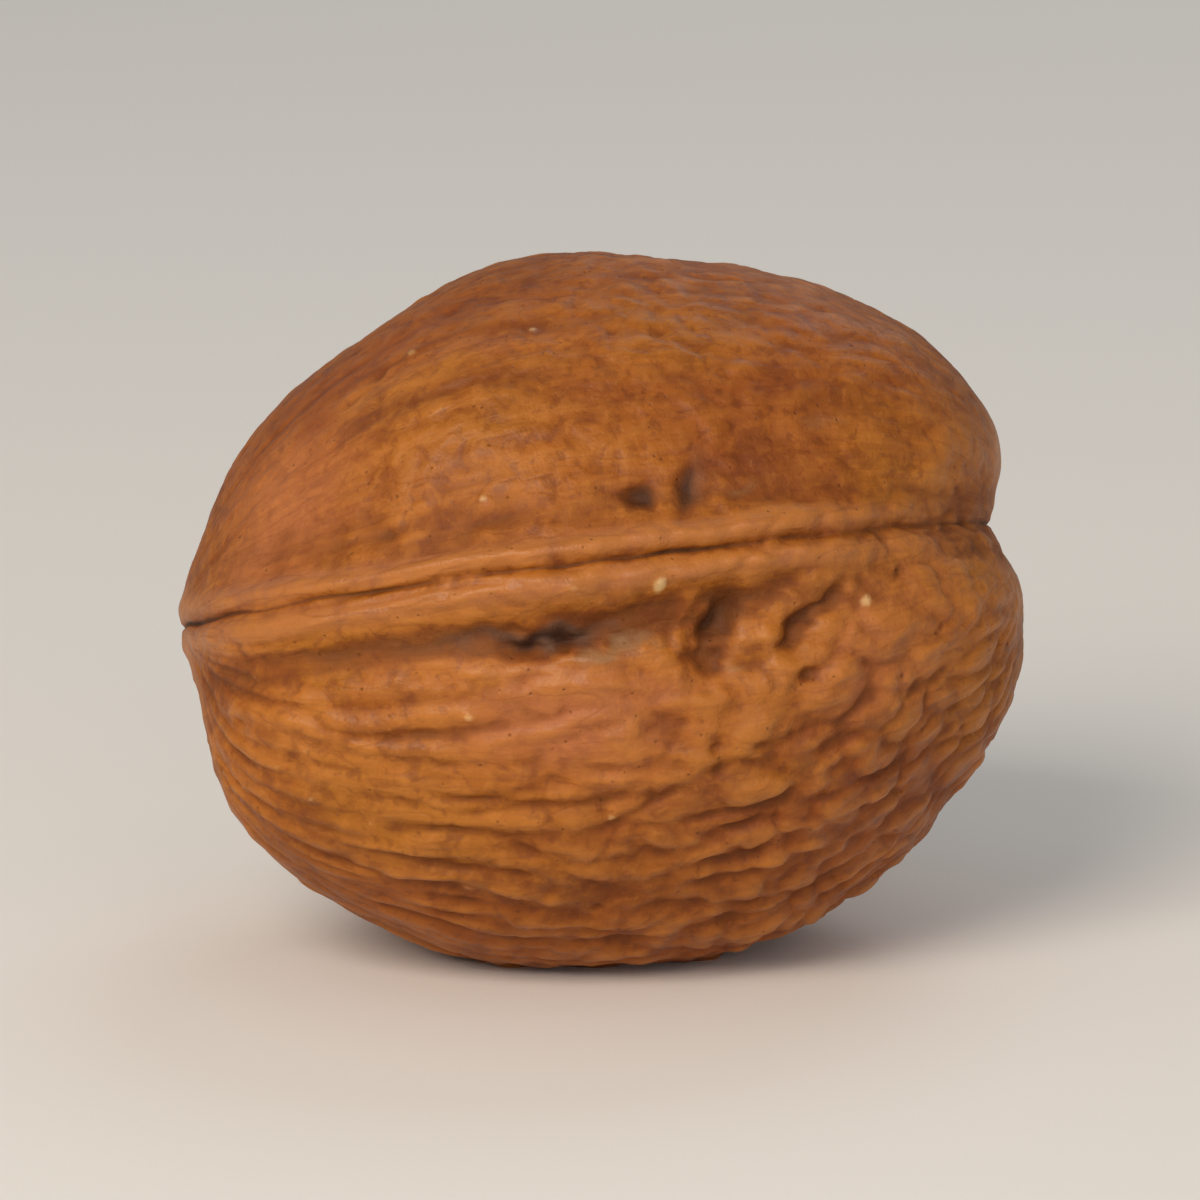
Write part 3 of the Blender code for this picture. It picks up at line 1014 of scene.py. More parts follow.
@dataclass(frozen=True)
class Pits(Relief):
    """Small pits strewn over the shell, shallower on the upper cheek."""

    count: int = 150
    radii: tuple[float, float] = (0.18, 0.45)
    depths: tuple[float, float] = (0.08, 0.26)
    stretch: float = 1.35
    turn: float = 30
    edge: float = 1.3
    # The cosine of theta past which there are none
    ends_free: float = 0.93
    # The sine of phi from which they are shallower, and how deep they are there as a share
    upper_from: float = 0.1
    upper_share: float = 0.55
    seed: int = SEED + 60

    def ovals(self) -> Patches:
        """Draws the pits.

        Returns:
            One oval patch for each pit.
        """
        draw = np.random.default_rng(self.seed)
        pits = []
        for _ in range(self.count):
            theta = math.degrees(math.acos(draw.uniform(-self.ends_free, self.ends_free)))
            phi = draw.uniform(-180, 180)
            size = draw.uniform(*self.radii)
            depth = draw.uniform(*self.depths)
            if math.sin(math.radians(phi)) >= self.upper_from:
                depth *= self.upper_share
            turn = draw.uniform(-self.turn, self.turn)
            pits.append(Patch(theta, phi, turn, size * self.stretch, size, -depth))
        return Patches(tuple(pits), edge=self.edge)

    def height(self, places: Places, radius: Array) -> Array:
        """Gives the pits' depth as a height below 0."""
        return self.ovals().height(places, radius)


@dataclass(frozen=True)
class Pebble(Relief):
    """Small uneven bumps that make the shell look grown rather than turned."""

    size: float = 1.3
    rise: float = 0.07
    fine_size: float = 0.7
    fine_rise: float = 0.032
    upper_share: float = 0.6

    def height(self, places: Places, radius: Array) -> Array:
        """Gives the bumps' height.

        Args:
            places: Where on the shell.
            radius: The shell's radius there, without relief.

        Returns:
            The height at each place.
        """
        at = places.directions() * radius[:, None]
        coarse = gradient_noise(at / self.size, SEED + 70) * self.rise
        fine = gradient_noise(at / self.fine_size, SEED + 71) * self.fine_rise
        return (coarse + fine) * places.lower_share(self.upper_share)


@dataclass(frozen=True)
class Resting:
    """How the nut lies, and the small flat spot it rests on, round which the relief wears away."""

    roll: float = 15.0
    tip_droop: float = 5.6
    spot_depth: float = 0.55
    worn_radius: float = 5.5
    worn_away: float = 0.85
    # The higher, the sharper the edge of the part that wears away
    worn_edge: int = 4
    shortest_rim_edge: float = 0.05

    def rotation(self) -> Array:
        """Gives the rotation that lays the nut on its lower cheek, seam tilted, tip drooping."""
        roll = Matrix.Rotation(-math.radians(self.roll), 3, "X")
        droop = Matrix.Rotation(-math.radians(self.tip_droop), 3, "Y")
        return np.array(droop @ roll)

    def relief_left(self, places: Places) -> Array:
        """Gives how much of the relief is left: little where the nut rests.

        Args:
            places: Where on the shell.

        Returns:
            The share at each place.
        """
        down = -self.rotation()[2]
        away = np.linalg.norm(places.directions() - down, axis=1) * LOWER_CHEEK
        return 1 - self.worn_away * np.exp(-((away / self.worn_radius) ** self.worn_edge))

    def cut_flat_spot(self, bm: bmesh.types.BMesh) -> None:
        """Cuts the shell off level a little above its lowest point and closes it.

        Args:
            bm: The shell, in metres, as it lies.
        """
        lowest = min(v.co.z for v in bm.verts)
        cut = bmesh.ops.bisect_plane(
            bm,
            geom=[*bm.verts, *bm.edges, *bm.faces],
            plane_co=(0, 0, lowest + self.spot_depth * MM),
            plane_no=(0, 0, -1),
            clear_outer=True,
        )
        rim = [item for item in cut["geom_cut"] if isinstance(item, bmesh.types.BMVert)]
        bmesh.ops.remove_doubles(bm, verts=rim, dist=self.shortest_rim_edge * MM)
        open_edges = [edge for edge in bm.edges if edge.is_boundary]
        for edge in open_edges:
            edge.smooth = False
        for face in bmesh.ops.contextual_create(bm, geom=open_edges)["faces"]:
            face.smooth = False


@dataclass(frozen=True)
class Lattice:
    """Squares spread evenly over a ball from the faces of a cube, crowded along the seam."""

    squares: int = 128
    # How much closer together the rows are at the seam, and the half width of that band as a
    # share of the way to the cube's edge
    crowding: float = 0.6
    crowded_band: float = 0.17

    def corners_and_squares(self) -> tuple[Array, Array]:
        """Makes the squares of all six faces, which share the corners along their edges.

        Returns:
            The corners' whole coordinates on the cube, and the corner numbers of each square.
        """
        steps = np.arange(self.squares + 1)
        one, other = np.meshgrid(steps, steps, indexing="ij")
        numbers = np.arange(one.size).reshape(one.shape)
        square = np.stack(
            [numbers[:-1, :-1], numbers[1:, :-1], numbers[1:, 1:], numbers[:-1, 1:]], axis=-1
        ).reshape(-1, 4)
        corners = []
        squares = []
        for axis in range(3):
            for side in (0, self.squares):
                face = np.stack([one, other, np.full_like(one, side)], axis=-1).reshape(-1, 3)
                squares.append(square[:, :: 1 if side else -1] + len(corners) * one.size)
                corners.append(np.roll(face, axis + 1, axis=1))
        joined, number = np.unique(np.concatenate(corners), axis=0, return_inverse=True)
        return joined, number.ravel()[np.concatenate(squares)]

    def places(self, corners: Array) -> Places:
        """Throws the cube's corners on to a ball.

        Args:
            corners: Whole coordinates on the cube.

        Returns:
            The places on the shell.
        """
        at = corners / self.squares * 2 - 1
        at[:, 2] *= 1 - self.crowding * bell(at[:, 2], self.crowded_band)
        out = np.tan(at * math.pi / 4)
        out /= np.linalg.norm(out, axis=1, keepdims=True)
        return Places(np.arccos(-out[:, 0]), np.arctan2(out[:, 2], -out[:, 1]))


def halved(squares: Array, heights: Array) -> Array:
    """Cuts each square in two along its more level diagonal, so that slanting ridges run smooth.

    Args:
        squares: The corner numbers of each square.
        heights: The height of the relief at each corner.

    Returns:
        The corner numbers of each triangle.
    """
    at = heights[squares]
    level = np.abs(at[:, 0] - at[:, 2]) <= np.abs(at[:, 1] - at[:, 3])
    one_way = squares[level]
    other_way = np.roll(squares[~level], -1, axis=1)
    turned = np.concatenate([one_way, other_way])
    return np.concatenate([turned[:, :3], turned[:, [0, 2, 3]]])


def averaged(values: Array, squares: Array, rounds: int) -> Array:
    """Averages values with their neighbours' many times over.

    Args:
        values: One value for each corner.
        squares: The corner numbers of each square.
        rounds: How many times.

    Returns:
        The smoothed values.
    """
    ahead = np.roll(squares, -1, axis=1)
    count = np.bincount(squares.ravel(), minlength=len(values))
    for _ in range(rounds):
        total = np.bincount(squares.ravel(), values[ahead].ravel(), len(values))
        values = (values + total / count) / 2
    return values


def linear(colour: str) -> tuple[float, float, float, float]:
    """Turns an sRGB hex colour to linear.

    Args:
        colour: Such as "#b0703a".

    Returns:
        Red, green, blue and a full alpha.
    """
    parts = [int(colour[i : i + 2], 16) / 255 for i in (1, 3, 5)]
    red, green, blue = (p / 12.92 if p <= 0.04045 else ((p + 0.055) / 1.055) ** 2.4 for p in parts)
    return red, green, blue, 1.0


def add_node(
    tree: bpy.types.NodeTree,
    kind: str,
    settings: dict[str, Any] | None = None,
    inputs: dict[str | int, Any] | None = None,
) -> Node:
    """Adds a node with its settings and links.

    Args:
        tree: Where it goes.
        kind: Its type.
        settings: Its properties by name.
        inputs: Its inputs by name or number: a value, a socket, or a node, which stands for
            that node's first output in use.

    Returns:
        The node.
    """
    node = tree.nodes.new(kind)
    for name, value in (settings or {}).items():
        setattr(node, name, value)
    for name, value in (inputs or {}).items():
        if isinstance(name, int):
            entry = node.inputs[name]
        else:
            entry = next(s for s in node.inputs if s.enabled and s.name == name)
        if isinstance(value, Node):
            value = next(s for s in value.outputs if s.enabled)
        if isinstance(value, NodeSocket):
            tree.links.new(value, entry)
        else:
            entry.default_value = value
    return node


def weighted_sum(tree: bpy.types.NodeTree, *terms: tuple[Node | NodeSocket, float]) -> Node:
    """Adds up values, each multiplied by a number.

    Args:
        tree: Where the nodes go.
        terms: Pairs of a node or socket and its number.

    Returns:
        The node that gives the sum.
    """
    result: Any = 0.0
    for value, share in terms:
        inputs = {0: value, 1: share, 2: result}
        result = add_node(tree, "ShaderNodeMath", {"operation": "MULTIPLY_ADD"}, inputs)
    return result


def empty_material(name: str) -> tuple[bpy.types.Material, bpy.types.NodeTree]:
    """Makes a material without nodes.

    Args:
        name: Its name.

    Returns:
        The material and its node tree.
    """
    material = bpy.data.materials.new(name)
    material.use_nodes = True
    material.node_tree.nodes.clear()
    return material, material.node_tree


class Blend(Enum):
    """How a tint is laid over the colour below it."""

    COVER = "MIX"
    STAIN = "MULTIPLY"


class Answer(Enum):
    """How a tint's strength follows its mask."""

    SMOOTH = "SMOOTHSTEP"
    EVEN = "LINEAR"


@dataclass(frozen=True)
class Tint:
    """A colour laid over what is below: none where its mask is low, most where it is high."""

    mask: Node | NodeSocket
    low: float
    high: float
    most: float
    colour: str
    blend: Blend = Blend.COVER
    answer: Answer = Answer.SMOOTH


@dataclass(frozen=True)
class CloudyNoise:
    """Noise with clouds of one size in millimetres, finer layers in them, and a twist."""

    size: float
    layers: float
    twist: float


@dataclass(frozen=True)
class DrawnNoise:
    """Noise drawn out from tip to butt: the width and length of a streak in millimetres."""

    width: float
    length: float
    layers: float = 3.0


@dataclass(frozen=True)
class Patterns:
    """The finish's patterns: noises about 0.5 on average, and veins and pores that are 1 inside."""

    cloud: Node
    mottle: Node
    speckle: Node
    grain: Node
    streak: Node
    fibre: Node
    veins: Node
    pores: Node


class Mask(Enum):
    """What each corner of the shell's mesh knows about its place, for the finish to use."""

    CREVICE = "crevice"
    CREST = "crest"
    LIP = "lip"
    CRACK = "crack"
    DARK = "dark"
    LINE = "line"
    STAIN = "stain"
    ROSY = "rosy"
    DEEP_AND_SHADED = "deep"
    GOLDEN = "golden"
    BEAD = "bead_glint"
    WEATHERED = "weathered"
    SCAR = "scar"


# The masks that are made of patches alone
PATCH_MASKS = {
    Mask.DARK: SHADE_AND_STAIN_SPOTS,
    Mask.LINE: DARK_LINES,
    Mask.STAIN: GREY_STAINS,
    Mask.ROSY: ROSY_PATCHES,
    Mask.DEEP_AND_SHADED: DEEP_AND_SHADED_PATCHES,
    Mask.GOLDEN: GOLDEN_PATCHES,
    Mask.WEATHERED: WEATHERED_PATCHES,
}
LENGTHWISE = "lengthwise"


@dataclass(frozen=True)
class DriedShell:
    """Walnut shell: hard and woody, washed and dried, and rubbed to a satin by handling.

    To the eye that gives a warm brown ground that clouds from tan to red-brown, fibres that
    run from tip to butt, dark dirt and painted shade in the furrows, the crack and the pores,
    crests a little paler and glossier than the hollows, their pale partly wear and partly a
    painted highlight, and a soft broad sheen with no hard reflections. Painted shade also
    darkens the bottoms of the sharpest hollows and, with a redder tone, the bottom and the
    right-hand lobe, and the beads carry a painted glint.
    """

    name: str = "dried_walnut_shell"
    ground: str = "#a25b13"
    tan: str = "#ba742c"
    gold: str = "#a16208"
    umber: str = "#7c3c08"
    rose: str = "#b86f43"
    lip: str = "#a86a48"
    russet: str = "#6b3005"
    # Pale, because it is multiplied into the colour below it: a redder tone and painted shade
    deep: str = "#d2b892"
    # Dirt and painted shade: darkens the furrows, the shallow crack and the pores
    dust_and_shade: str = "#4b2705"
    shadow: str = "#2c1509"
    damp: str = "#4b3f36"
    # A painted glint: the pale laid on the beads
    bead_glint: str = "#eac78c"
    weathered: str = "#93724e"
    husk: str = "#6e421d"
    cloud: CloudyNoise = CloudyNoise(size=7.5, layers=4, twist=0.4)
    mottle: CloudyNoise = CloudyNoise(size=2.1, layers=6, twist=0.8)
    speckle: CloudyNoise = CloudyNoise(size=0.6, layers=3, twist=0.3)
    grain: CloudyNoise = CloudyNoise(size=0.17, layers=2, twist=0.0)
    streak: DrawnNoise = DrawnNoise(width=1.1, length=7.0)
    # Wood fibres are some 0.02 mm wide, too fine to show, so bundles of them are drawn
    fibre: DrawnNoise = DrawnNoise(width=0.26, length=2.6)
    # Veins run where this noise is within so much of its middle value
    vein: DrawnNoise = DrawnNoise(width=2.2, length=6.0)
    vein_reach: float = 0.03
    pore_spacing: float = 0.9
    pore_radius: float = 0.11
    ior: float = 1.47
    # The porous surface reflects less than its index alone would give
    specular_level: float = 0.36
    roughness_on_crests: float = 0.42
    roughness_in_hollows: float = 0.70
    roughness_off_beads: float = 0.28
    # How far each pattern stands out, in millimetres
    mottle_rise: float = 0.08
    speckle_rise: float = 0.065
    grain_rise: float = 0.026
    fibre_rise: float = 0.014
    vein_depth: float = 0.01
    pore_depth: float = 0.05

    def material(self) -> bpy.types.Material:
        """Makes the material.

        Returns:
            The material, ready for the shell's slot.
        """
        material, tree = empty_material(self.name)
        masks = {}
        for mask in Mask:
            attribute = add_node(tree, "ShaderNodeAttribute", {"attribute_name": mask.value})
            masks[mask] = attribute.outputs["Fac"]
        patterns = self.patterns(tree)
        shader = add_node(
            tree,
            "ShaderNodeBsdfPrincipled",
            None,
            {
                "Base Color": self.colour(tree, masks, patterns),
                "Roughness": self.roughness(tree, masks, patterns),
                "IOR": self.ior,
                "Specular IOR Level": self.specular_level,
                "Normal": self.bump(tree, patterns),
            },
        )
        add_node(tree, "ShaderNodeOutputMaterial", None, {"Surface": shader})
        return material

    def patterns(self, tree: bpy.types.NodeTree) -> Patterns:
        """Adds the patterns that the colour, the roughness and the bump share.

        Args:
            tree: Where they go.

        Returns:
            The patterns.
        """
        place = add_node(tree, "ShaderNodeTexCoord").outputs["Object"]
        place = add_node(
            tree, "ShaderNodeVectorMath", {"operation": "SCALE"}, {0: place, "Scale": 1 / MM}
        )
        cloud, mottle, speckle, grain = (
            add_node(
                tree,
                "ShaderNodeTexNoise",
                None,
                {
                    "Vector": place,
                    "Scale": 1 / noise.size,
                    "Detail": noise.layers,
                    "Distortion": noise.twist,
                },
            )
            for noise in (self.cloud, self.mottle, self.speckle, self.grain)
        )
        streak = self.drawn_out(tree, self.streak)
        fibre = self.drawn_out(tree, self.fibre)
        winding = self.drawn_out(tree, self.vein)
        off = add_node(tree, "ShaderNodeMath", {"operation": "SUBTRACT"}, {0: winding, 1: 0.5})
        off = add_node(tree, "ShaderNodeMath", {"operation": "ABSOLUTE"}, {0: off})
        cells = add_node(
            tree, "ShaderNodeTexVoronoi", None, {"Vector": place, "Scale": 1 / self.pore_spacing}
        )
        reaches = (
            (off, self.vein_reach),
            (cells.outputs["Distance"], self.pore_radius / self.pore_spacing),
        )
        veins, pores = (
            add_node(
                tree,
                "ShaderNodeMapRange",
                {"interpolation_type": Answer.SMOOTH.value},
                {"Value": distance, "From Min": reach, "From Max": 0.0},
            )
            for distance, reach in reaches
        )
        return Patterns(cloud, mottle, speckle, grain, streak, fibre, veins, pores)

    def drawn_out(self, tree: bpy.types.NodeTree, noise: DrawnNoise) -> Node:
        """Adds noise drawn out from tip to butt.

        Args:
            tree: Where it goes.
            noise: Its sizes.

        Returns:
            The noise, about 0.5 on average.
        """
        along = add_node(tree, "ShaderNodeAttribute", {"attribute_name": LENGTHWISE})
        scale = (1 / noise.width, 1 / noise.width, 1 / noise.length)
        drawn = add_node(
            tree,
            "ShaderNodeVectorMath",
            {"operation": "MULTIPLY"},
            {0: along.outputs["Vector"], 1: scale},
        )
        inputs = {"Vector": drawn, "Scale": 1.0, "Detail": noise.layers}
        return add_node(tree, "ShaderNodeTexNoise", None, inputs)

    def tints(
        self, tree: bpy.types.NodeTree, masks: dict[Mask, NodeSocket], patterns: Patterns
    ) -> tuple[Tint, ...]:
        """Lists the tints that are laid over the ground colour, from the bottom to the top.

        Args:
            tree: Where the nodes of mixed masks go.
            masks: What the mesh knows about its places.
            patterns: The finish's patterns.

        Returns:
            The tints.
        """
        mottle, speckle = patterns.mottle, patterns.speckle
        streak, fibre = patterns.streak, patterns.fibre
        # The noise's three colours are three clouds that don't follow each other
        hues = add_node(
            tree, "ShaderNodeSeparateColor", None, {"Color": patterns.cloud.outputs["Color"]}
        )
        pale, golden, dark = hues.outputs
        golden_patch = weighted_sum(tree, (masks[Mask.GOLDEN], 0.8), (mottle, 0.4))
        deep_and_shaded_patch = weighted_sum(tree, (masks[Mask.DEEP_AND_SHADED], 0.8), (mottle, 0.5))
        scar = weighted_sum(tree, (masks[Mask.SCAR], 1.0), (mottle, 1.6), (speckle, 0.8))
        # How deep a place lies in a crevice, for the painted shade and dirt laid there
        furrow = weighted_sum(tree, (masks[Mask.CREVICE], 1.0), (mottle, 0.5), (fibre, 0.2))
        patchy = add_node(
            tree,
            "ShaderNodeMapRange",
            {"interpolation_type": Answer.SMOOTH.value},
            {"Value": mottle, "From Min": 0.3, "From Max": 0.6, "To Min": 0.2, "To Max": 0.6},
        )
        # Paler crests, partly wear and partly a painted highlight
        worn_and_highlit = add_node(
            tree, "ShaderNodeMath", {"operation": "MULTIPLY"}, {0: masks[Mask.CREST], 1: patchy}
        )
        return (
            Tint(golden, 0.46, 0.64, 0.55, self.gold),
            Tint(pale, 0.48, 0.66, 0.45, self.tan),
            Tint(dark, 0.50, 0.68, 0.55, self.umber),
            Tint(golden_patch, 0.2, 0.9, 0.7, self.gold),
            Tint(streak, 0.50, 0.68, 0.32, self.tan),
            Tint(streak, 0.48, 0.32, 0.36, self.umber),
            Tint(mottle, 0.48, 0.36, 0.42, self.russet),
            Tint(mottle, 0.54, 0.66, 0.32, self.tan),
            Tint(speckle, 0.47, 0.34, 0.42, self.russet),
            Tint(speckle, 0.54, 0.66, 0.34, self.tan),
            Tint(masks[Mask.ROSY], 0.0, 1.0, 0.65, self.rose),
            Tint(masks[Mask.LIP], 0.1, 0.9, 0.6, self.lip),
            # A redder tone, with painted shade on the bottom and the right-hand lobe
            Tint(deep_and_shaded_patch, 0.25, 0.95, 0.85, self.deep, blend=Blend.STAIN),
            # Paler crests: partly wear, partly a painted highlight
            Tint(worn_and_highlit, 0.0, 1.0, 1.0, self.tan, answer=Answer.EVEN),
            Tint(fibre, 0.48, 0.32, 0.14, self.russet),
            Tint(patterns.veins, 0.0, 1.0, 0.2, self.russet, answer=Answer.EVEN),
            Tint(masks[Mask.LINE], 0.0, 1.0, 0.7, self.russet, answer=Answer.EVEN),
            # Painted shade with dirt in the crevices: russet, then a near-black brown where deepest
            Tint(furrow, 0.50, 1.10, 0.52, self.russet),
            Tint(furrow, 1.0, 1.6, 0.55, self.dust_and_shade),
            # The pores darkened with dirt and painted shade in their small holes
            Tint(patterns.pores, 0.0, 1.0, 0.5, self.dust_and_shade, answer=Answer.EVEN),
            Tint(masks[Mask.STAIN], 0.1, 0.8, 0.6, self.damp),
            Tint(masks[Mask.WEATHERED], 0.2, 0.9, 0.6, self.weathered),
            Tint(scar, 1.55, 2.35, 0.75, self.husk),
            # Painted shade at the bottoms of the sharpest hollows, with a dark stain on the smudge
            Tint(masks[Mask.DARK], 0.1, 0.9, 0.85, self.shadow),
            # A painted glint on the beads, which are also made glossier
            Tint(masks[Mask.BEAD], 0.25, 1.0, 0.65, self.bead_glint),
            # Painted shade in the crack: brown where it is shallow, nearly black where it gapes
            # most
            Tint(masks[Mask.CRACK], 0.15, 0.7, 0.8, self.dust_and_shade),
            Tint(masks[Mask.CRACK], 0.65, 1.0, 0.8, self.shadow),
        )

    def colour(
        self, tree: bpy.types.NodeTree, masks: dict[Mask, NodeSocket], patterns: Patterns
    ) -> Node:
        """Lays the tints over the ground colour.

        Args:
            tree: Where they go.
            masks: What the mesh knows about its places.
            patterns: The finish's patterns.

        Returns:
            The colour.
        """
        below: Any = linear(self.ground)
        for tint in self.tints(tree, masks, patterns):
            strength = add_node(
                tree,
                "ShaderNodeMapRange",
                {"interpolation_type": tint.answer.value},
                {
                    "Value": tint.mask,
                    "From Min": tint.low,
                    "From Max": tint.high,
                    "To Max": tint.most,
                },
            )
            below = add_node(
                tree,
                "ShaderNodeMix",
                {"data_type": "RGBA", "blend_type": tint.blend.value},
                {"Factor": strength, "A": below, "B": linear(tint.colour)},
            )
        return below

    def roughness(
        self, tree: bpy.types.NodeTree, masks: dict[Mask, NodeSocket], patterns: Patterns
    ) -> Node:
        """Makes the crests and beads glossier than the hollows.

        Args:
            tree: Where it goes.
            masks: What the mesh knows about its places.
            patterns: The finish's patterns.

        Returns:
            The roughness.
        """
        dull = weighted_sum(
            tree, (masks[Mask.CREVICE], 0.7), (masks[Mask.CREST], -0.5), (patterns.speckle, 0.9)
        )
        rough = add_node(
            tree,
            "ShaderNodeMapRange",
            {"interpolation_type": Answer.SMOOTH.value},
            {
                "Value": dull,
                "From Min": 0.0,
                "From Max": 1.1,
                "To Min": self.roughness_on_crests,
                "To Max": self.roughness_in_hollows,
            },
        )
        return weighted_sum(tree, (rough, 1.0), (masks[Mask.BEAD], -self.roughness_off_beads))

    def bump(self, tree: bpy.types.NodeTree, patterns: Patterns) -> Node:
        """Makes the surface that is too fine for the mesh: grain, veins and pores.

        Args:
            tree: Where it goes.
            patterns: The finish's patterns.

        Returns:
            The bumped normal.
        """
        height = weighted_sum(
            tree,
            (patterns.mottle, self.mottle_rise),
            (patterns.speckle, self.speckle_rise),
            (patterns.grain, self.grain_rise),
            (patterns.fibre, self.fibre_rise),
            (patterns.veins, -self.vein_depth),
            (patterns.pores, -self.pore_depth),
        )
        return add_node(tree, "ShaderNodeBump", None, {"Height": height, "Distance": MM})


@dataclass(frozen=True)
class MattCard:
    """White card with a matt face: a pale ground with no sheen and a barely seen tooth."""

    name: str = "matt_card"
    colour: str = "#f3f1ed"
    roughness: float = 0.85
    tooth_size: float = 0.5
    tooth_height: float = 0.01

    def material(self) -> bpy.types.Material:
        """Makes the material.

        Returns:
            The material of the floor.
        """
        material, tree = empty_material(self.name)
        place = add_node(tree, "ShaderNodeTexCoord").outputs["Object"]
        tooth = add_node(
            tree, "ShaderNodeTexNoise", None, {"Vector": place, "Scale": 1 / (self.tooth_size * MM)}
        )
        normal = add_node(
            tree, "ShaderNodeBump", None, {"Height": tooth, "Distance": self.tooth_height * MM}
        )
        shader = add_node(
            tree,
            "ShaderNodeBsdfPrincipled",
            None,
            {"Base Color": linear(self.colour), "Roughness": self.roughness, "Normal": normal},
        )
        add_node(tree, "ShaderNodeOutputMaterial", None, {"Surface": shader})
        return material


@dataclass(frozen=True)
class ShellPieces:
    """The parts that the shell's surface is put together from."""

    bare: BareShell = BareShell()
    # The lip lines draw the crack as narrow as it looks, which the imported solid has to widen
    seam: Seam = Seam(crack_depth=0.0)
    furrows: Furrows = Furrows()
    ripples: Ripples = Ripples()
    net: Net = Net()
    lumps: Lumps = Lumps()
    ends: Ends = Ends()
    wrinkles: Ripples = Ripples(
        count=92,
        rise=0.05,
        sway=1.3,
        patch_round=4.0,
        patch_along=7.0,
        upper_share=0.35,
        seed=SEED + 80,
        comes_in=(9.0, 14.0),
    )
    fine_net: Net = Net(
        depth=0.05,
        dome=0.09,
        spacing_round=1.15,
        spacing_along=1.5,
        line=0.30,
        seed=SEED + 110,
        rough_part=RoughPart(least=0.4, upper=0.4),
    )
    pits: Pits = Pits()
    pebble: Pebble = Pebble()


@dataclass(frozen=True)
class FormedSurface:
    """The shell's points in the nut's own frame, the relief's height there, and the masks."""

    points: Array
    relief: Array
    masks: dict[Mask, Array]


@dataclass(frozen=True)
class WalnutShell:
    """The whole closed shell: two cheeks joined at a seam, a tip and a butt, in one piece."""

    name: str = "walnut_shell"
    pieces: ShellPieces = ShellPieces()
    resting: Resting = Resting()
    lattice: Lattice = Lattice()
    blur_rounds: int = 110
    crevice_depth: float = 0.24
    crest_height: float = 0.18
    # How many times stronger the bumps added to the scar are than the pebble's elsewhere
    scar_bumps: float = 2.0

    def surface(self, places: Places, squares: Array) -> FormedSurface:
        """Forms the shell's surface and works out what the finish needs.

        Args:
            places: Where on the shell.
            squares: The corner numbers of each square, for finding crests and crevices.

        Returns:
            The surface.
        """
        parts = self.pieces
        bare = parts.bare.radius(places)
        radius = bare + BROAD_FORMS.height(places, bare)
        lip_lines = LipLines(parts.seam)
        shaped = (parts.seam, parts.ends, parts.ripples, HOLLOWS, parts.furrows, parts.net)
        strewn = (parts.wrinkles, parts.fine_net, parts.pits, parts.pebble)
        fine = (*strewn, lip_lines, SHARP_HOLLOWS, BEADS)
        relief = sum(piece.height(places, radius) for piece in shaped + fine)
        scar = parts.ends.scar(places, radius)
        relief += self.scar_bumps * scar * parts.pebble.height(places, radius)
        relief = relief * self.resting.relief_left(places)
        relief += parts.lumps.height(places, radius)
        hump = relief - averaged(relief, squares, self.blur_rounds)
        masks = {
            Mask.CREVICE: np.clip(-hump / self.crevice_depth, 0, 1),
            Mask.CREST: np.clip(hump / self.crest_height, 0, 1),
            Mask.LIP: parts.seam.lips(places, radius),
            Mask.CRACK: lip_lines.crack(places, radius),
            Mask.BEAD: np.clip(BEADS.height(places, radius) / BEAD_HEIGHT, 0, 1),
            Mask.SCAR: scar,
        }
        for mask, patches in PATCH_MASKS.items():
            masks[mask] = np.clip(patches.height(places, radius), 0, 1)
        return FormedSurface(places.directions() * (radius + relief)[:, None], relief, masks)

    def build(self) -> bpy.types.Object:
        """Makes the shell's mesh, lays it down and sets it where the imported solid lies.

        Returns:
            The shell.
        """
        corners, squares = self.lattice.corners_and_squares()
        places = self.lattice.places(corners)
        formed = self.surface(places, squares)
        points = formed.points @ self.resting.rotation().T * MM
        mesh = bpy.data.meshes.new(self.name)
        mesh.from_pydata(points, [], halved(squares, formed.relief).tolist())
        for mask, values in formed.masks.items():
            mesh.attributes.new(mask.value, "FLOAT", "POINT").data.foreach_set("value", values)
        along = places.lengthwise(spacing_round=1.0, spacing_along=1.0)
        lengthwise = mesh.attributes.new(LENGTHWISE, "FLOAT_VECTOR", "POINT")
        lengthwise.data.foreach_set("vector", along.ravel())
        mesh.shade_smooth()
        bm = bmesh.new()
        bm.from_mesh(mesh)
        self.resting.cut_flat_spot(bm)
        bmesh.ops.recalc_face_normals(bm, faces=bm.faces)
        self.set_in_place(bm)
        bm.to_mesh(mesh)
        bm.free()
        shell = bpy.data.objects.new(self.name, mesh)
        bpy.context.scene.collection.objects.link(shell)
        return shell

    def set_in_place(self, bm: bmesh.types.BMesh) -> None:
        """Moves the shell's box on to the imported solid's box: same middle, same foot.

        Args:
            bm: The shell, in metres, as it lies.
        """
        points = np.array([v.co for v in bm.verts])
        low, high = points.min(axis=0), points.max(axis=0)
        cad_low, cad_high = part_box(NODE)
        middle = (cad_low + cad_high) / 2
        move = Vector(
            (
                middle.x - (low[0] + high[0]) / 2,
                middle.y - (low[1] + high[1]) / 2,
                cad_low.z - low[2],
            )
        )
        bmesh.ops.translate(bm, verts=bm.verts, vec=move)

    def dress(self, shell: bpy.types.Object, finish: DriedShell) -> None:
        """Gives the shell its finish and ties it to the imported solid.

        Args:
            shell: The shell.
            finish: How its surface looks.
        """
        shell.data.materials.append(finish.material())
        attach(shell, BODY)
        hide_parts(NODE)


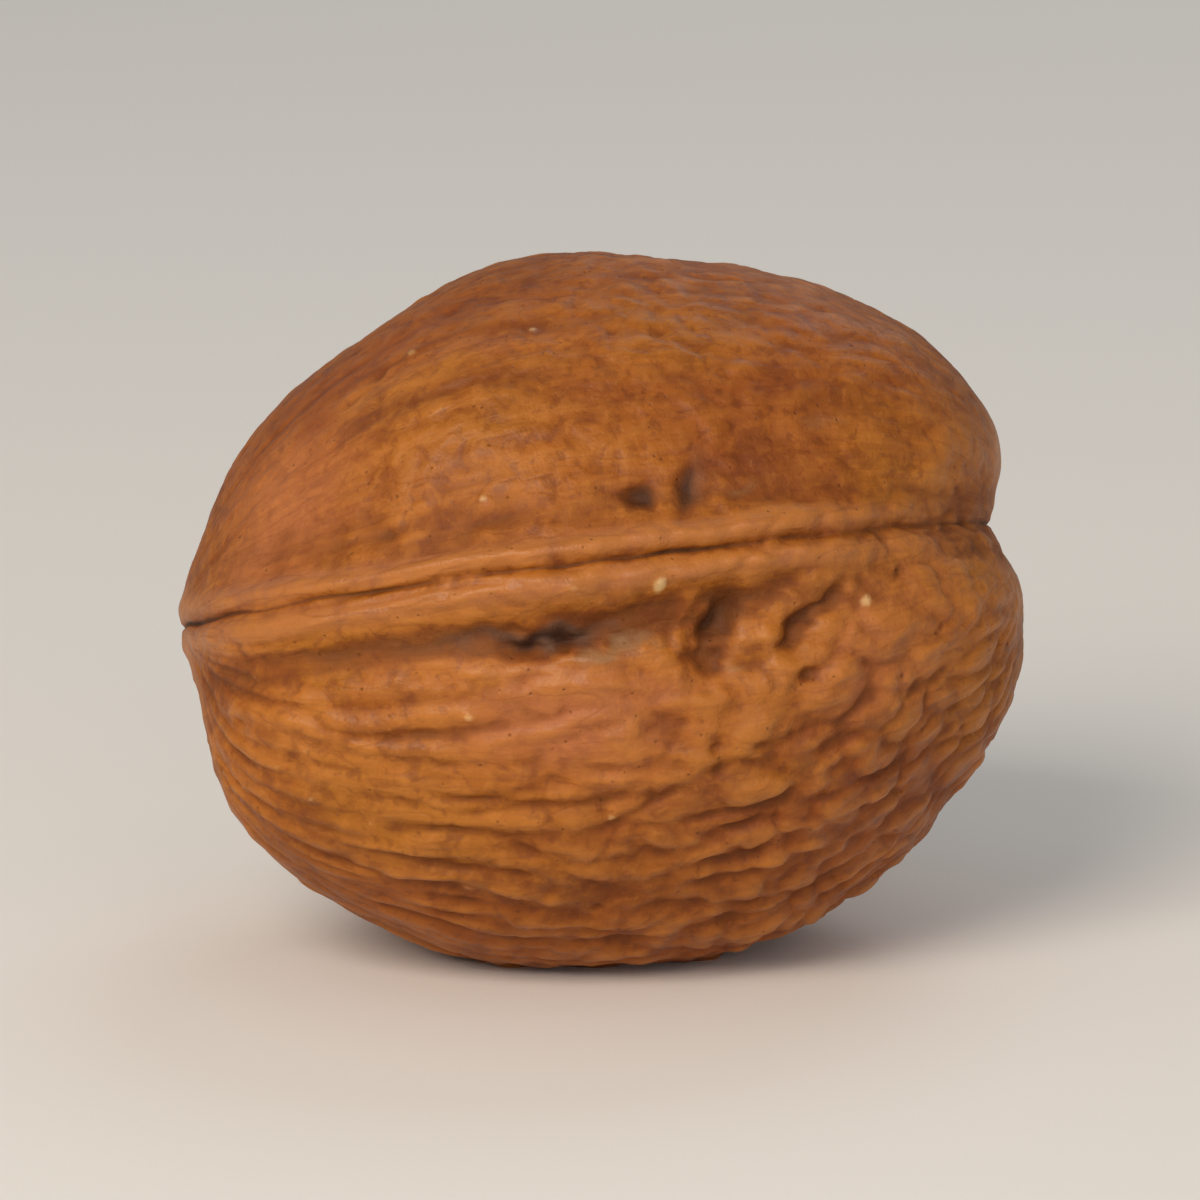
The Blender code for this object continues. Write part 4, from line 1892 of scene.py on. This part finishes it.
@dataclass(frozen=True)
class Floor:
    """A plain pale floor, wide enough to fill every view."""

    name: str = "floor"
    side: float = 8.0
    finish: MattCard = MattCard()

    def build(self) -> bpy.types.Object:
        """Makes the floor at height 0.

        Returns:
            The floor.
        """
        bm = bmesh.new()
        bmesh.ops.create_grid(bm, x_segments=1, y_segments=1, size=self.side / 2)
        mesh = bpy.data.meshes.new(self.name)
        bm.to_mesh(mesh)
        bm.free()
        mesh.materials.append(self.finish.material())
        floor = bpy.data.objects.new(self.name, mesh)
        bpy.context.scene.collection.objects.link(floor)
        return floor


@dataclass(frozen=True)
class SoftBox:
    """A square studio light: its direction from the nut, distance, side and power."""

    name: str
    azimuth: float
    elevation: float
    distance: float
    side: float
    watts: float
    colour: str


@dataclass(frozen=True)
class Studio:
    """Soft light from the front left, weaker ones in front and behind, and a pale surround."""

    boxes: tuple[SoftBox, ...] = (
        SoftBox("key_light", -36, 34, 0.60, 0.30, 2.6, "#fff1e0"),
        SoftBox("fill_light", 10, 14, 0.80, 0.60, 1.2, "#f6f5fa"),
        SoftBox("back_light", 150, 45, 0.70, 0.35, 0.5, "#ffffff"),
    )
    surround: str = "#e9e8e6"
    surround_strength: float = 0.38

    def build(self, target: Vector) -> None:
        """Sets up the lights and the surround.

        Args:
            target: What the lights point at.
        """
        for box in self.boxes:
            light = bpy.data.lights.new(box.name, "AREA")
            light.size = box.side
            light.energy = box.watts
            light.color = linear(box.colour)[:3]
            lamp = bpy.data.objects.new(box.name, light)
            out = outward(box.azimuth, box.elevation)
            lamp.location = target + out * box.distance
            lamp.rotation_euler = out.to_track_quat("Z", "Y").to_euler()
            bpy.context.scene.collection.objects.link(lamp)
        world = bpy.data.worlds.new("surround")
        world.use_nodes = True
        background = world.node_tree.nodes["Background"]
        background.inputs["Color"].default_value = linear(self.surround)
        background.inputs["Strength"].default_value = self.surround_strength
        bpy.context.scene.world = world
        bpy.context.scene.view_settings.view_transform = "Standard"


@dataclass(frozen=True)
class Viewpoint:
    """The camera: the photograph's angle on the nut, from nearer by."""

    azimuth: float = -8.0
    elevation: float = 12.0
    lens: float = 240.0
    # How much wider the view is than the nut is long
    room: float = 1.42

    def build(self, low: Vector, high: Vector) -> bpy.types.Object:
        """Makes the camera.

        Args:
            low: The nut's lowest corner.
            high: The nut's highest corner.

        Returns:
            The camera.
        """
        data = bpy.data.cameras.new("camera")
        data.lens = self.lens
        camera = bpy.data.objects.new("camera", data)
        out = outward(self.azimuth, self.elevation)
        view_width = (high.x - low.x) * self.room
        camera.location = (low + high) / 2 + out * (view_width * data.lens / data.sensor_width)
        camera.rotation_euler = out.to_track_quat("Z", "Y").to_euler()
        bpy.context.scene.collection.objects.link(camera)
        bpy.context.scene.camera = camera
        return camera


def outward(azimuth: float, elevation: float) -> Vector:
    """Gives the direction from the nut towards a viewer or a light.

    Args:
        azimuth: Degrees round the nut, with 0 in front of the seam at -Y and 90 at +X.
        elevation: Degrees above the floor.

    Returns:
        The unit vector.
    """
    turn, rise = math.radians(azimuth), math.radians(elevation)
    return Vector(
        (math.sin(turn) * math.cos(rise), -math.cos(turn) * math.cos(rise), math.sin(rise))
    )


def main() -> None:
    """Builds the scene in order and reports each piece."""
    logging.basicConfig(level=logging.INFO, format="%(name)s: %(message)s")
    log.info("packed nodes: %s", ", ".join(frame["nodes"]))
    maker = WalnutShell()
    shell = maker.build()
    maker.dress(shell, DriedShell())
    triangles = sum(len(face.vertices) - 2 for face in shell.data.polygons)
    finish = shell.data.materials[0].name
    log.info("%s: %d triangles, dressed as %s", shell.name, triangles, finish)
    floor = Floor().build()
    log.info("%s: dressed as %s", floor.name, floor.data.materials[0].name)
    low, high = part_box(NODE)
    studio = Studio()
    studio.build((low + high) / 2)
    log.info("studio: %s", ", ".join(box.name for box in studio.boxes))
    camera = Viewpoint().build(low, high)
    log.info("%s: %.0f mm lens, %.2f m off", camera.name, camera.data.lens, -camera.location.y)


if __name__ == "__main__":
    main()
